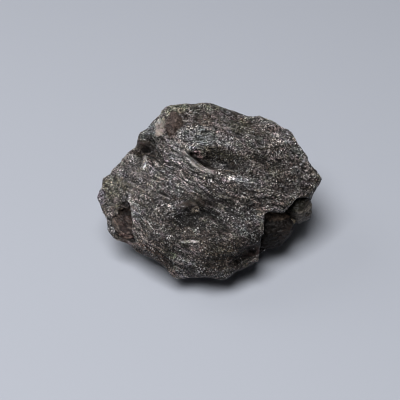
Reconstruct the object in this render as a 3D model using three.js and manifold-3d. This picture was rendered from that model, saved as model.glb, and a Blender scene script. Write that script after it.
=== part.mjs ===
// A hand specimen of garnet-mica schist: one broken block of wavy, layered mica schist (the matrix)
// and the garnet crystals that grew in it, each crystal a solid of its own in a socket of the matrix.
//
// Millimetres, +Z up. The block lies on the plane z = 0 and the origin is under the middle of its box.
// It is wedge-shaped: its broad face leans back and rises away from -Y, inside a rim.
// Features of the broad face are placed in the face's own frame, square on to it:
// across (+X), up (from the resting edge to the crest) and out (away from the block).

import * as THREE from "three";
import { ConvexGeometry } from "three/addons/geometries/ConvexGeometry.js";
import { ImprovedNoise } from "three/addons/math/ImprovedNoise.js";
import { mergeVertices } from "three/addons/utils/BufferGeometryUtils.js";
import Module from "manifold-3d";

const wasm = await Module();
wasm.setup();

// ---------------------------------------------------------------- driving dimensions
const FACE_ELEVATION = 40; // degrees that the broad face's outward direction rises
const FACE_CENTRE = new THREE.Vector3(-0.25, 0.05, 15.6);
const RIM_LEAN = 0.465; // the rim falls back this much for each millimetre up the face
const BULGE = 10; // how far the middle of the broad face stands out of its rim
const BULGE_FLATNESS = 3.4; // a higher power makes a flatter middle and a steeper edge
const BULGE_ROUNDNESS = 0.6;
const UNDERSIDE_FLATNESS = 4;
const FRONT_ROUNDNESS = 1.3; // how the underside sets off from the rim: above 1 it overhangs
const BACK_ROUNDNESS = 0.45; // and at a lower value it drops in a wall
const RIM_WANDER = 3.5; // how unevenly the rim runs to and fro, out of its plane
const FLOOR_CUT = 1.6; // how far the underside would reach below z = 0 before it is levelled off
const BLOCK_DETAIL = 31; // subdivisions of the sphere that the block is shaped from
const SOCKET_GAP = 0.3; // clearance between a crystal and its socket
const FLATNESS = 0.04; // faces that lie in one plane to within this are joined
const LAYER_SPACING = 4.2;
const LAYER_RELIEF = 1.0;
const LAYER_WAVES = [
  // height in mm, radians per mm across, up and out, and where the wave starts
  { height: 0.9, across: 0.31, up: 0.22, out: 0, start: 0.8 },
  { height: 0.5, across: 0.62, up: -0.35, out: 0.4, start: 2.1 },
  { height: 0.22, across: 1.15, up: 0.8, out: -0.5, start: 0.3 },
];

// The rim of the block, anticlockwise from the right-hand corner, as [across, up].
const RIM = [
  [30.4, 2.8], [29.9, 4.3], [27.9, 7.5], [25.7, 11.8], [24.0, 14.7], [22.3, 16.6], [19.3, 18.2],
  [16.7, 19.6], [13.9, 20.5], [11.2, 20.0], [8.6, 21.7], [5.7, 22.5], [2.5, 23.3], [-1.7, 23.9],
  [-5.3, 24.1], [-9.5, 23.9], [-12.3, 23.4], [-14.2, 21.6], [-15.6, 19.6], [-18.2, 16.6],
  [-19.9, 14.2], [-20.1, 12.2], [-22.0, 10.2], [-24.9, 6.7], [-26.9, 4.1], [-28.6, 1.6],
  [-29.7, -1.8], [-29.2, -3.6], [-27.4, -7.3], [-27.0, -9.7], [-26.2, -11.7], [-25.1, -13.2],
  [-22.7, -14.0], [-20.2, -14.6], [-18.4, -15.4], [-14.7, -17.9], [-11.3, -20.8], [-9.4, -22.9],
  [-4.0, -23.4], [2.2, -23.6], [4.5, -23.3], [7.0, -21.4], [11.5, -19.6], [13.5, -18.7],
  [14.6, -17.0], [15.8, -15.6], [18.4, -15.1], [21.4, -13.9], [22.6, -11.4], [24.2, -10.0],
  [25.9, -8.3], [26.9, -5.9], [27.2, -2.9], [28.0, -0.7], [29.5, 1.3],
];

// Flats that fall away beyond a line through `at`, in the direction `toward` (degrees from across).
const FLATS = [
  { at: [8, -14.5], toward: -53, slope: 0.55, round: 1.2 }, // lower right
  { at: [-15, -15], toward: -126, slope: 1.1, round: 0.6 }, // bevel along the lower left edge
  { at: [19, 9], toward: 30, slope: 0.4, round: 1.5 }, // right-hand side
  { at: [-12.5, 16], toward: 160, slope: 0.7, round: 0.6 }, // upper left
  { at: [0, 18], toward: 95, slope: 0.35, round: 2 }, // crest
];

// Swells and hollows of the broad face. A higher sharpness gives a steeper side.
const SWELLS = [
  { height: 1.5, at: [-9, 4.5], radii: [11, 4.6], turn: -30, sharpness: 1 }, // sheet with the long lip
  { height: 2.2, at: [1, 14.5], radii: [12, 4.8], turn: -10, sharpness: 1.3 }, // dome above the hollow
  { height: -1.9, at: [-4.5, -7], radii: [6.4, 3.4], turn: 6, sharpness: 1.4 }, // hollow in the middle
  { height: 1.0, at: [-3.2, -2.4], radii: [6, 1.7], turn: 6, sharpness: 1 }, // lip above that hollow
  { height: -1.3, at: [19.5, 4], radii: [2.6, 7], turn: 14, sharpness: 1.2 }, // valley on the right
  { height: 1.0, at: [12, -4], radii: [8, 3.2], turn: -8, sharpness: 1.2 }, // right-hand shelf
  { height: 1.0, at: [-14, -8], radii: [5, 5], turn: 0, sharpness: 1 }, // lower left swell
];

// Flat breaks of the back and the underside: the way each one faces, and how much it takes off.
const BREAKS = [
  { toward: [0.15, 0.95, -0.25], depth: 1.8 },
  { toward: [-0.7, 0.6, -0.35], depth: 2.4 },
  { toward: [0.75, 0.55, -0.35], depth: 2.6 },
  { toward: [-0.1, 0.7, -0.7], depth: 2.6 },
  { toward: [-0.75, -0.3, -0.6], depth: 1.8 },
  { toward: [0.8, -0.2, -0.55], depth: 2.0 },
  { toward: [0.1, -0.8, -0.6], depth: 1.2 },
];

// Pieces chipped out of the surface, down to a sharp-edged hollow: [across, up, out] points of the
// hollow's edge, which lies in the surface, and of its bottom.
const CHIPS = [
  {
    // the long hollow whose lower side runs in under the lip
    edge: [
      [-6.4, 10.7, 5.7], [-4.7, 9.2, 6.4], [-2.7, 7.2, 7.0], [-0.8, 6.1, 7.4], [2.2, 5.4, 7.8],
      [6.2, 4.9, 8.0], [10.4, 5.2, 7.4], [10.4, 8.2, 6.5], [6.8, 10.6, 5.9], [2.0, 11.3, 5.8],
      [-3.2, 11.6, 5.6],
    ],
    bottom: [[-4.0, 9.4, 4.0], [-2.2, 7.9, 2.9], [-0.5, 6.9, 3.1], [2.6, 7.0, 4.3], [6.4, 6.9, 5.3]],
  },
  {
    // the hollow in the middle
    edge: [
      [-10.2, -6.4, 13.0], [-8.0, -4.2, 12.4], [-3.2, -4.0, 12.4], [1.8, -3.8, 12.4],
      [3.8, -5.4, 12.8], [1.6, -8.8, 13.6], [-1.8, -10.8, 14.2], [-6.0, -11.8, 14.3],
      [-9.8, -10.4, 14.0],
    ],
    bottom: [[-7.8, -7.4, 11.0], [-3.8, -6.8, 10.4], [0.4, -6.2, 11.2]],
  },
  {
    // crumbled foot at the lower right
    edge: [
      [5.2, -18.6, 12.6], [8.8, -15.4, 12.4], [11.2, -14.2, 11.6], [13.8, -13.5, 10.6],
      [14.4, -16.6, 8.4], [10.0, -18.9, 9.8], [7.2, -20.2, 11.2],
    ],
    bottom: [[7.4, -18.4, 10.9], [10.0, -16.7, 10.0], [12.6, -15.6, 8.6]],
  },
];

// Straight cuts into the face inside an outline of [across, up] points.
const NOTCHES = [
  {
    // under the right-hand shelf, where two crystals stand out of the wall
    outline: [
      [12.8, -30], [13.2, -18.6], [13.7, -15.6], [13.9, -13.7], [14.3, -11.4], [14.1, -9.1],
      [14.5, -7.2], [14.3, -6.2], [15.8, -5.7], [18.4, -5.9], [19.8, -6.0], [21.4, -4.2], [23.0, -2.3],
      [24.8, -1.8], [27.0, -2.2], [34, -4], [36, -30],
    ],
    outFrom: 3.0,
  },
  {
    // the same break further down, past a step that the crystals are set in
    outline: [
      [12.6, -30], [13.0, -18.6], [13.4, -15.6], [13.6, -12.0], [16.0, -9.4], [19.4, -10.0],
      [21.6, -10.2], [23.4, -8.6], [24.8, -6.4], [26.6, -2.6], [34, -4], [36, -30],
    ],
    outFrom: -1.2,
  },
  {
    // the broken side of the left-hand crystal
    outline: [
      [-20.8, -3.2], [-22.4, -3.1], [-24.2, -3.9], [-24.0, -5.8], [-24.9, -8.8], [-24.4, -11.4],
      [-22.8, -12.9], [-20.8, -13.7], [-19.0, -14.0], [-19.5, -12.1], [-19.9, -10.3], [-20.0, -7.9],
      [-20.3, -5.3],
    ],
    outFrom: 5.5,
  },
];

// Crystals: the middle in the face's frame, the reach of each flat from it, the direction that one of
// the flats faces in the face's frame, the turn about that direction, and how much the crystal has been
// squeezed across, up and out.
const GARNETS = [
  {
    name: "garnet_right_front",
    at: [17.0, -10.0, 2.4],
    reach: 4.5,
    facing: [0.2, 0.3, 1],
    spin: 20,
    squeeze: [1.06, 0.98, 1],
  },
  {
    name: "garnet_right_back",
    at: [24.1, -5.0, 0.2],
    reach: 3.4,
    facing: [0.6, 0.2, 1],
    spin: 75,
    squeeze: [0.97, 0.98, 1.22],
  },
  {
    name: "garnet_left",
    at: [-21.8, -8.7, 4.3],
    reach: 3.4,
    facing: [-0.3, 0.2, 1],
    spin: 40,
    squeeze: [1.02, 1.04, 0.9],
  },
  {
    name: "garnet_upper_left",
    at: [-9.3, 15.2, -3.1],
    reach: 4.2,
    facing: [-0.35, 0.72, 0.6],
    spin: 20,
    squeeze: [0.6, 1.25, 1],
  },
];

// Where a crystal has fallen out and left its socket empty.
const EMPTY_SOCKETS = [
  { at: [-17.7, 12.0, 0.0], reach: 3.3, facing: [0.3, 0.4, -0.8], spin: 30, squeeze: [1.1, 0.85, 1] },
];

// ---------------------------------------------------------------- the broad face's frame
const faceRise = THREE.MathUtils.degToRad(FACE_ELEVATION);
const ACROSS = new THREE.Vector3(1, 0, 0);
const UP = new THREE.Vector3(0, Math.sin(faceRise), Math.cos(faceRise));
const OUT = new THREE.Vector3(0, -Math.cos(faceRise), Math.sin(faceRise));
const FACE_FRAME = new THREE.Matrix4().makeBasis(ACROSS, UP, OUT).setPosition(FACE_CENTRE);
const TO_FACE_FRAME = FACE_FRAME.clone().invert();

function onFace(across, up, out) {
  return new THREE.Vector3(across, up, out).applyMatrix4(FACE_FRAME);
}

// ---------------------------------------------------------------- noise and profiles
const noise = new ImprovedNoise();

// Smooth noise from -1 to 1 whose lumps are about `size` millimetres across.
function lumps(point, size, shift = 0) {
  return noise.noise(point.x / size + shift, point.y / size + 2 * shift, point.z / size - shift);
}

// 1 in the middle of an ellipse of the face, falling to 0 round it.
function patch(across, up, { at, radii, turn, sharpness }) {
  const angle = THREE.MathUtils.degToRad(turn);
  const right = across - at[0];
  const above = up - at[1];
  const along = (right * Math.cos(angle) + above * Math.sin(angle)) / radii[0];
  const over = (above * Math.cos(angle) - right * Math.sin(angle)) / radii[1];
  return Math.exp(-Math.pow(along * along + over * over, sharpness));
}

// A slope that starts at a line of the face and is rounded off where it starts.
function fall(across, up, { at, toward, slope, round }) {
  const angle = THREE.MathUtils.degToRad(toward);
  const beyond = (across - at[0]) * Math.cos(angle) + (up - at[1]) * Math.sin(angle);
  return slope * round * Math.log1p(Math.exp(beyond / round));
}

function relief(across, up) {
  const swells = SWELLS.reduce((sum, s) => sum + s.height * patch(across, up, s), 0);
  const falls = FLATS.reduce((sum, f) => sum + fall(across, up, f), 0);
  return swells - falls;
}

// The schist is layered. The layers dip into the face, curve from steep on the left to nearly level on
// the right, and ripple. This is how far up through the layers a point lies, in millimetres.
function layerPlace(point) {
  const { x: across, y: up, z: out } = point.clone().applyMatrix4(TO_FACE_FRAME);
  return LAYER_WAVES.reduce(
    (sum, wave) =>
      sum + wave.height * Math.sin(wave.across * across + wave.up * up + wave.out * out + wave.start),
    0.84 * up + 0.3 * across - 0.005 * across ** 2 + 0.49 * out,
  );
}

// Each layer breaks off with a rounded back and a sharp lower edge.
function layerRelief(point) {
  const place = layerPlace(point) / LAYER_SPACING;
  const share = place - Math.floor(place);
  const step = THREE.MathUtils.smoothstep(share, 0, 0.6) - THREE.MathUtils.smoothstep(share, 0.6, 1);
  return LAYER_RELIEF * (0.7 + lumps(point, 9, 1.3)) * (step - 0.5);
}

// ---------------------------------------------------------------- the block of schist
const rimCurve = new THREE.CatmullRomCurve3(
  RIM.map(([across, up]) => new THREE.Vector3(across, up, 0)),
  true,
  "centripetal",
);
const rimSamples = rimCurve
  .getPoints(RIM.length * 6)
  .map((p) => ({ angle: Math.atan2(p.y, p.x), radius: Math.hypot(p.x, p.y) }))
  .sort((a, b) => a.angle - b.angle);

// The rim's distance from the middle of the face in one direction.
function rimRadius(angle) {
  const next = rimSamples.findIndex((s) => s.angle >= angle);
  const after = rimSamples[Math.max(next, 0)];
  const before = rimSamples.at(next < 1 ? -1 : next - 1);
  const turn = (from, to) => THREE.MathUtils.euclideanModulo(to - from, 2 * Math.PI);
  const share = turn(before.angle, angle) / (turn(before.angle, after.angle) || 1);
  return THREE.MathUtils.lerp(before.radius, after.radius, share);
}

// The same with its corners evened out, so that they don't run in as ridges to the middle of the face.
function evenRadius(angle) {
  const steps = [-0.4, -0.3, -0.2, -0.1, 0, 0.1, 0.2, 0.3, 0.4];
  const wrap = (a) => THREE.MathUtils.euclideanModulo(a + Math.PI, 2 * Math.PI) - Math.PI;
  return steps.reduce((sum, step) => sum + rimRadius(wrap(angle + step)), 0) / steps.length;
}

// A direction on the unit sphere, taken to its place on the smooth block. The near half of the sphere
// becomes the broad face and the far half the underside, and they meet in the rim.
function blockPoint(direction) {
  const angle = Math.atan2(direction.y, direction.x);
  const spread = Math.min(1, Math.SQRT2 * Math.sin(Math.acos(Math.abs(direction.z)) / 2));
  const isUnderside = direction.z < 0;
  const corners = spread ** (isUnderside ? 16 : 4);
  const radius = THREE.MathUtils.lerp(evenRadius(angle), rimRadius(angle), corners);
  const across = radius * spread * Math.cos(angle);
  const up = radius * spread * Math.sin(angle);
  const wander = RIM_WANDER * spread ** 6 * lumps(new THREE.Vector3(across, up, 0), 11, 2.3);
  const point = onFace(across, up, wander - RIM_LEAN * up);
  if (isUnderside) {
    const backness = THREE.MathUtils.smoothstep(up, -14, 8);
    const roundness = THREE.MathUtils.lerp(FRONT_ROUNDNESS, BACK_ROUNDNESS, backness);
    const sink = (1 - spread ** UNDERSIDE_FLATNESS) ** roundness;
    point.z -= sink * (point.z + FLOOR_CUT);
    return point;
  }
  const bulge = BULGE * (1 - spread ** BULGE_FLATNESS) ** BULGE_ROUNDNESS;
  return point.addScaledVector(OUT, bulge + relief(across, up) * (1 - spread ** 8));
}

// Takes the underside back to a flat break, and leaves the broad face and the rim as they are.
function breakOff(block, { toward, depth }) {
  const facing = new THREE.Vector3(...toward).normalize();
  const position = block.getAttribute("position");
  const point = new THREE.Vector3();
  let farthest = -Infinity;
  for (let i = 0; i < position.count; i++) {
    farthest = Math.max(farthest, point.fromBufferAttribute(position, i).dot(facing));
  }
  const rimPlane = new THREE.Plane().setFromCoplanarPoints(
    onFace(0, 0, 0),
    onFace(1, 0, 0),
    onFace(0, 1, -RIM_LEAN),
  );
  moveVertices(block, (point) => {
    const beyond = point.dot(facing) - (farthest - depth);
    const share = THREE.MathUtils.smoothstep(-rimPlane.distanceToPoint(point), 0.5, 4);
    if (beyond > 0) point.addScaledVector(facing, -beyond * share);
  });
}

function blockGeometry() {
  const block = sphereGeometry(BLOCK_DETAIL);
  moveVertices(block, (point) => point.copy(blockPoint(point)));
  for (const flatBreak of BREAKS) breakOff(block, flatBreak);
  block.computeVertexNormals();
  const normals = block.getAttribute("normal");
  moveVertices(block, (point, i) => {
    const rough = 1.1 * lumps(point, 8) + 0.5 * lumps(point, 4, 5.3) + layerRelief(point);
    point.addScaledVector(new THREE.Vector3().fromBufferAttribute(normals, i), rough);
    point.z = Math.max(point.z, 0);
  });
  return block;
}

// ---------------------------------------------------------------- meshes and solids
// A unit sphere made from an octahedron, so that a row of its vertices runs round the equator.
function sphereGeometry(detail) {
  const sphere = new THREE.OctahedronGeometry(1, detail);
  sphere.deleteAttribute("normal");
  sphere.deleteAttribute("uv");
  return mergeVertices(sphere, 1e-5);
}

function moveVertices(geometry, move) {
  const position = geometry.getAttribute("position");
  const point = new THREE.Vector3();
  for (let i = 0; i < position.count; i++) {
    move(point.fromBufferAttribute(position, i), i);
    position.setXYZ(i, point.x, point.y, point.z);
  }
}

function solidOf(geometry) {
  const bare = geometry.clone();
  bare.deleteAttribute("normal");
  bare.deleteAttribute("uv");
  const merged = mergeVertices(bare, 1e-4);
  return new wasm.Manifold(
    new wasm.Mesh({
      numProp: 3,
      vertProperties: merged.getAttribute("position").array,
      triVerts: new Uint32Array(merged.index.array),
    }),
  );
}

function geometryOf(solid) {
  const mesh = solid.getMesh();
  const geometry = new THREE.BufferGeometry();
  geometry.setAttribute("position", new THREE.BufferAttribute(mesh.vertProperties, 3));
  geometry.setIndex(new THREE.BufferAttribute(mesh.triVerts, 1));
  return geometry;
}

// ---------------------------------------------------------------- what is cut out of the block
const CLEAR = 12; // how far a cutting solid reaches out past the surface

function chipGeometry({ edge, bottom }) {
  const clear = edge.map(([across, up, out]) => [across, up, out + CLEAR]);
  return new ConvexGeometry([...edge, ...clear, ...bottom].map((place) => onFace(...place)));
}

function notchGeometry({ outline, outFrom }) {
  const shape = new THREE.Shape(outline.map(([across, up]) => new THREE.Vector2(across, up)));
  const notch = new THREE.ExtrudeGeometry(shape, { depth: 20 + CLEAR, bevelEnabled: false });
  return notch.translate(0, 0, outFrom).applyMatrix4(FACE_FRAME);
}

// ---------------------------------------------------------------- crystals
// Garnet grows as a rhombic dodecahedron: twelve flats, square on to the twelve edges of a cube.
const DODECAHEDRON_FLATS = [];
for (const [i, j] of [[0, 1], [1, 2], [2, 0]]) {
  for (const first of [-1, 1]) {
    for (const second of [-1, 1]) {
      const flat = [0, 0, 0];
      flat[i] = first;
      flat[j] = second;
      DODECAHEDRON_FLATS.push(new THREE.Vector3(...flat).normalize());
    }
  }
}
const EDGE_SHARPNESS = 9; // a higher power makes sharper edges between the flats

function garnetGeometry({ at, reach, facing, spin, squeeze }, grow = 0) {
  const corners = [];
  moveVertices(sphereGeometry(5), (direction) => {
    const nearness = DODECAHEDRON_FLATS.reduce(
      (sum, flat) => sum + Math.max(0, flat.dot(direction)) ** EDGE_SHARPNESS,
      0,
    );
    corners.push(direction.clone().multiplyScalar(reach / nearness ** (1 / EDGE_SHARPNESS)));
  });
  const toward = new THREE.Vector3(...facing).normalize();
  const turn = new THREE.Quaternion().setFromUnitVectors(DODECAHEDRON_FLATS[0], toward);
  turn.premultiply(new THREE.Quaternion().setFromAxisAngle(toward, THREE.MathUtils.degToRad(spin)));
  const shares = squeeze.map((share) => share * (1 + grow / (reach * share)));
  const crystal = new ConvexGeometry(corners).applyQuaternion(turn).scale(...shares);
  return crystal.translate(...at).applyMatrix4(FACE_FRAME);
}

// ---------------------------------------------------------------- the specimen
let matrix = solidOf(blockGeometry());
for (const chip of CHIPS) matrix = matrix.subtract(solidOf(chipGeometry(chip)));
for (const notch of NOTCHES) matrix = matrix.subtract(solidOf(notchGeometry(notch)));
for (const garnet of GARNETS) matrix = matrix.subtract(solidOf(garnetGeometry(garnet, SOCKET_GAP)));
for (const socket of EMPTY_SOCKETS) matrix = matrix.subtract(solidOf(garnetGeometry(socket)));

// Crumbs that a cut sets free are no part of the specimen.
matrix = matrix.decompose().reduce((a, b) => (a.volume() > b.volume() ? a : b));
matrix = matrix.simplify(FLATNESS);

const schist = new THREE.MeshStandardMaterial({ color: 0x55514f, roughness: 0.6, metalness: 0 });
const garnetRed = new THREE.MeshStandardMaterial({ color: 0x3a2420, roughness: 0.4, metalness: 0 });

const specimen = new THREE.Group();

function addPiece(name, geometry, material) {
  const piece = new THREE.Mesh(geometry, material);
  piece.name = name;
  specimen.add(piece);
}

addPiece("schist_matrix", geometryOf(matrix), schist);
for (const garnet of GARNETS) addPiece(garnet.name, garnetGeometry(garnet), garnetRed);

export default specimen;
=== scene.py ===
# %% [markdown]
# # Dressing a hand specimen of garnet-mica schist
#
# The real thing is one broken block of rock. Heat and pressure turned an old mudstone into layers of
# mica, and garnets grew among them. Someone then knocked the block off with a hammer, so every surface
# is a fresh or weathered break: wavy ledges, flakes that lift, hollows under lips, and crystals that
# stand out or have dropped out.
#
# The solids give the block, its main hollows and the crystals. This script gives them their skin. It
# works in millimetres wherever it can, because that is how a stone is measured, and turns them into
# metres at the last moment.

# %% Load the solids
import math

import bmesh
import bpy
import numpy as np
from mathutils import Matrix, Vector, noise


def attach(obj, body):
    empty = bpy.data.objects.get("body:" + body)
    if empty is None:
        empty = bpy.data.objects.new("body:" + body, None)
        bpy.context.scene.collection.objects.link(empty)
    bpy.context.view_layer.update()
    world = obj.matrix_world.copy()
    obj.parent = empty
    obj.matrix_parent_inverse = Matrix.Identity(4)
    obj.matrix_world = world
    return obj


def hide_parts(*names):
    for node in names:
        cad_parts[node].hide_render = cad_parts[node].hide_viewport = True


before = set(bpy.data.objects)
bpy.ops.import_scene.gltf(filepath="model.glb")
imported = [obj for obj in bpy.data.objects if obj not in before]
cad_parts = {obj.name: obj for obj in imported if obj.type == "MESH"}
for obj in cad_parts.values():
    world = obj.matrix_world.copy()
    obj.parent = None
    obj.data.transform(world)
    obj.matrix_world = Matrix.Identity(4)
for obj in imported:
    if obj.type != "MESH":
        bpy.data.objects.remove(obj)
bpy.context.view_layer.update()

MM = 0.001  # one millimetre in the scene's metres

print("solids:", ", ".join(sorted(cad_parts)))

# %% [markdown]
# ## The broad face's own frame
#
# Nearly everything worth placing sits on the broad face, which leans back from the front edge. Placing
# things in x, y and z would be guesswork, so there is a second frame, square on to that face: `across`
# runs to the right, `up` runs from the front edge to the crest, and `out` comes away from the rock.
# The solids were laid out in the same frame.

# %% The face's frame
FACE_ELEVATION = math.radians(40)
FACE_CENTRE = Vector((-0.25, 0.05, 15.6))  # millimetres
ACROSS = Vector((1, 0, 0))
UP = Vector((0, math.sin(FACE_ELEVATION), math.cos(FACE_ELEVATION)))
OUT = Vector((0, -math.cos(FACE_ELEVATION), math.sin(FACE_ELEVATION)))


def face_places(points):
    """Across, up and out of many points, given in millimetres."""
    away = points - np.array(FACE_CENTRE)
    return np.stack([away @ np.array(axis) for axis in (ACROSS, UP, OUT)], axis=1)


print("the face looks towards", [round(c, 2) for c in OUT])

# %% [markdown]
# ## The camera
#
# A stone in the hand is looked at square on to its best face. The camera stands 300 mm away along the
# face's outward direction, with a long lens, so that the far edge isn't shrunk. The small shift places
# the stone a little right of and above the middle of the picture.

# %% The camera
CAMERA_DISTANCE = 300 * MM
AIM = (FACE_CENTRE + Vector((0, -0.6, 0))) * MM  # just in front of the face's centre
LENS = 100
SENSOR_WIDTH = 36  # millimetres, as the lens
SHIFT_ACROSS = -0.0225  # shares of the picture's width
SHIFT_UP = -0.02125

camera = bpy.data.objects.new("camera", bpy.data.cameras.new("camera"))
bpy.context.scene.collection.objects.link(camera)
camera.location = AIM + OUT * CAMERA_DISTANCE
camera.rotation_euler = (-OUT).to_track_quat("-Z", "Y").to_euler()
camera.data.lens = LENS
camera.data.sensor_width = SENSOR_WIDTH
camera.data.shift_x = SHIFT_ACROSS
camera.data.shift_y = SHIFT_UP
bpy.context.scene.camera = camera
print("the camera stands at", [round(c, 3) for c in camera.location])

# %% [markdown]
# ## Light and table
#
# Mica shows itself by glinting, so the light matters as much as the colour. One wide soft light hangs
# high up, a little to the left and in front, so the undercut sides fall into deep shade and the flakes
# have something large to mirror. A weak one from behind and the left lights the crest, and a dim room
# fills the shadows. The table is a plain pale sheet.

# %% Light
LAMPS = {
    # name: place in metres, side of the square in metres, power in watts
    "high_lamp": (Vector((-0.16, -0.22, 0.77)), 0.50, 7.0),
    "back_lamp": (Vector((-0.57, 0.33, 0.46)), 0.45, 0.9),
}
ROOM_COLOUR = (0.94, 0.97, 1.0, 1)
ROOM_STRENGTH = 0.03
PICTURE_SOFTNESS = 1.0  # low, so that the small grains stay crisp

for name, (place, side, power) in LAMPS.items():
    lamp = bpy.data.objects.new(name, bpy.data.lights.new(name, "AREA"))
    bpy.context.scene.collection.objects.link(lamp)
    lamp.location = place
    lamp.rotation_euler = (-place).to_track_quat("-Z", "Y").to_euler()
    lamp.data.energy = power
    lamp.data.size = side

room = bpy.data.worlds.new("room")
room.use_nodes = True
room.node_tree.nodes["Background"].inputs["Color"].default_value = ROOM_COLOUR
room.node_tree.nodes["Background"].inputs["Strength"].default_value = ROOM_STRENGTH
bpy.context.scene.world = room
bpy.context.scene.view_settings.view_transform = "Standard"
bpy.context.scene.cycles.filter_width = PICTURE_SOFTNESS
print(len(LAMPS), "lamps, room", ROOM_STRENGTH)

# %% Table
TABLE_COLOUR = (0.50, 0.525, 0.59, 1)
TABLE_ROUGHNESS = 0.6
TABLE_SIZE = 3.0  # metres

half = TABLE_SIZE / 2
table_corners = [(-half, -half, 0), (half, -half, 0), (half, half, 0), (-half, half, 0)]
table_mesh = bpy.data.meshes.new("table")
table_mesh.from_pydata(table_corners, [], [(0, 1, 2, 3)])
table = bpy.data.objects.new("table", table_mesh)
bpy.context.scene.collection.objects.link(table)
table_look = bpy.data.materials.new("pale table")
table_look.use_nodes = True
table_look.node_tree.nodes["Principled BSDF"].inputs["Base Color"].default_value = TABLE_COLOUR
table_look.node_tree.nodes["Principled BSDF"].inputs["Roughness"].default_value = TABLE_ROUGHNESS
table_mesh.materials.append(table_look)
print("a table of", TABLE_SIZE, "m")

# %% [markdown]
# ## Short hands for meshes
#
# A stone has far too many corners to visit one by one. These read and write all of them at once, as
# arrays in millimetres, and `settle` turns a piece with live modifiers into a plain mesh.

# %% Helpers for meshes
def read_vectors(layer, name):
    """Three numbers for each corner, as one array."""
    flat = np.empty(len(layer) * 3, np.float32)
    layer.foreach_get(name, flat)
    return flat.reshape(-1, 3).astype(float)


def points_of(mesh):
    """The places of a mesh's corners, in millimetres."""
    return read_vectors(mesh.vertices, "co") / MM


def normals_of(mesh):
    return read_vectors(mesh.vertices, "normal")


def move_points(mesh, points):
    """Puts each corner where `points` says, in millimetres."""
    mesh.vertices.foreach_set("co", (points * MM).astype(np.float32).ravel())
    mesh.update()


def write_numbers(mesh, name, values):
    """Keeps one number on each corner, for trees of nodes to read."""
    layer = mesh.attributes.new(name, "FLOAT", "POINT")
    layer.data.foreach_set("value", np.asarray(values, np.float32))


def write_colours(mesh, name, colours):
    layer = mesh.color_attributes.new(name, "FLOAT_COLOR", "POINT")
    rgba = np.concatenate([colours, np.ones((len(colours), 1))], axis=1)
    layer.data.foreach_set("color", rgba.astype(np.float32).ravel())


def triangles_in(mesh):
    return sum(len(polygon.vertices) - 2 for polygon in mesh.polygons)


def shade_smooth(mesh):
    for polygon in mesh.polygons:
        polygon.use_smooth = True


def new_object(name, mesh):
    piece = bpy.data.objects.new(name, mesh)
    bpy.context.scene.collection.objects.link(piece)
    return piece


def settle(piece):
    """Turns a piece with live modifiers into a plain mesh without them."""
    graph = bpy.context.evaluated_depsgraph_get()
    graph.update()
    shaped = piece.evaluated_get(graph)
    mesh = bpy.data.meshes.new_from_object(shaped, preserve_all_data_layers=True, depsgraph=graph)
    piece.modifiers.clear()
    piece.data = mesh


print("the rock's solid has", triangles_in(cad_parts["schist_matrix"].data), "triangles")

# %% [markdown]
# ## The block, ready to be worked
#
# The solid's mesh is a few thousand loose triangles of all sizes. A chisel needs even stone, so a copy
# is joined up and re-meshed into small equal cells about as wide as a mica grain. A voxel remesh is the
# quick way: it loses nothing that the relief won't replace, and it closes the mesh as well.

# %% Re-mesh the block
CELL = 0.325 * MM
SAME_PLACE = 0.001 * MM  # corners nearer than this are one corner


def joined_copy(node, name):
    """A copy of a solid with its loose triangles joined up."""
    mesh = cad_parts[node].data.copy()
    work = bmesh.new()
    work.from_mesh(mesh)
    bmesh.ops.remove_doubles(work, verts=work.verts, dist=SAME_PLACE)
    work.to_mesh(mesh)
    work.free()
    mesh.materials.clear()
    return new_object(name, mesh)


def remesh(piece, cell):
    """Gives a piece a closed skin of even cells."""
    modifier = piece.modifiers.new("even cells", "REMESH")
    modifier.mode = "VOXEL"
    modifier.voxel_size = cell
    modifier.use_smooth_shade = True
    settle(piece)


block = joined_copy("schist_matrix", "schist_body")
remesh(block, CELL)
print("the block has", len(block.data.vertices), "corners and", triangles_in(block.data), "triangles")

# %% [markdown]
# ## Patches and lines on the face
#
# Whatever is placed one by one, from a worn corner to a speck of rust, lies in a patch or along a line
# of the face. A patch is an ellipse with an uneven edge, because nothing on a stone has a clean one. A
# line is a few points, and `beside_line` finds for all corners at once how far they lie from it. Both
# could be painted by hand in Blender, but a table of names and sizes is easier to read and to change.

# %% Patches and lines
EDGE_REACH = 1.2  # a patch ends at this many times its radii
EDGE_WIDTH = 0.3  # and has its full strength this much further in
EDGE_RAGGEDNESS = 0.35
TAPER = 0.3  # the share of a line's length over which each end thins out
SIDE_WIDTH = 0.3  # how quickly what is done to the face fades as the surface turns away


def ragged(places, size, shift):
    """Noise from -1 to 1 at each place, with lumps of about `size` millimetres."""
    start = Vector((shift, 2 * shift, -shift))
    return np.clip([noise.fractal(Vector(p) / size + start, 0.6, 2.0, 3) for p in places], -1, 1)


def patch(places, at, radii, turn, raggedness=0.0):
    """1 in an ellipse of the face, 0 round it, with an uneven edge."""
    angle = math.radians(turn)
    right = places[:, 0] - at[0]
    above = places[:, 1] - at[1]
    along = (right * math.cos(angle) + above * math.sin(angle)) / radii[0]
    over = (above * math.cos(angle) - right * math.sin(angle)) / radii[1]
    reach = np.sqrt(along**2 + over**2) + EDGE_RAGGEDNESS * raggedness
    return np.clip((EDGE_REACH - reach) / EDGE_WIDTH, 0, 1)


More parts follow.
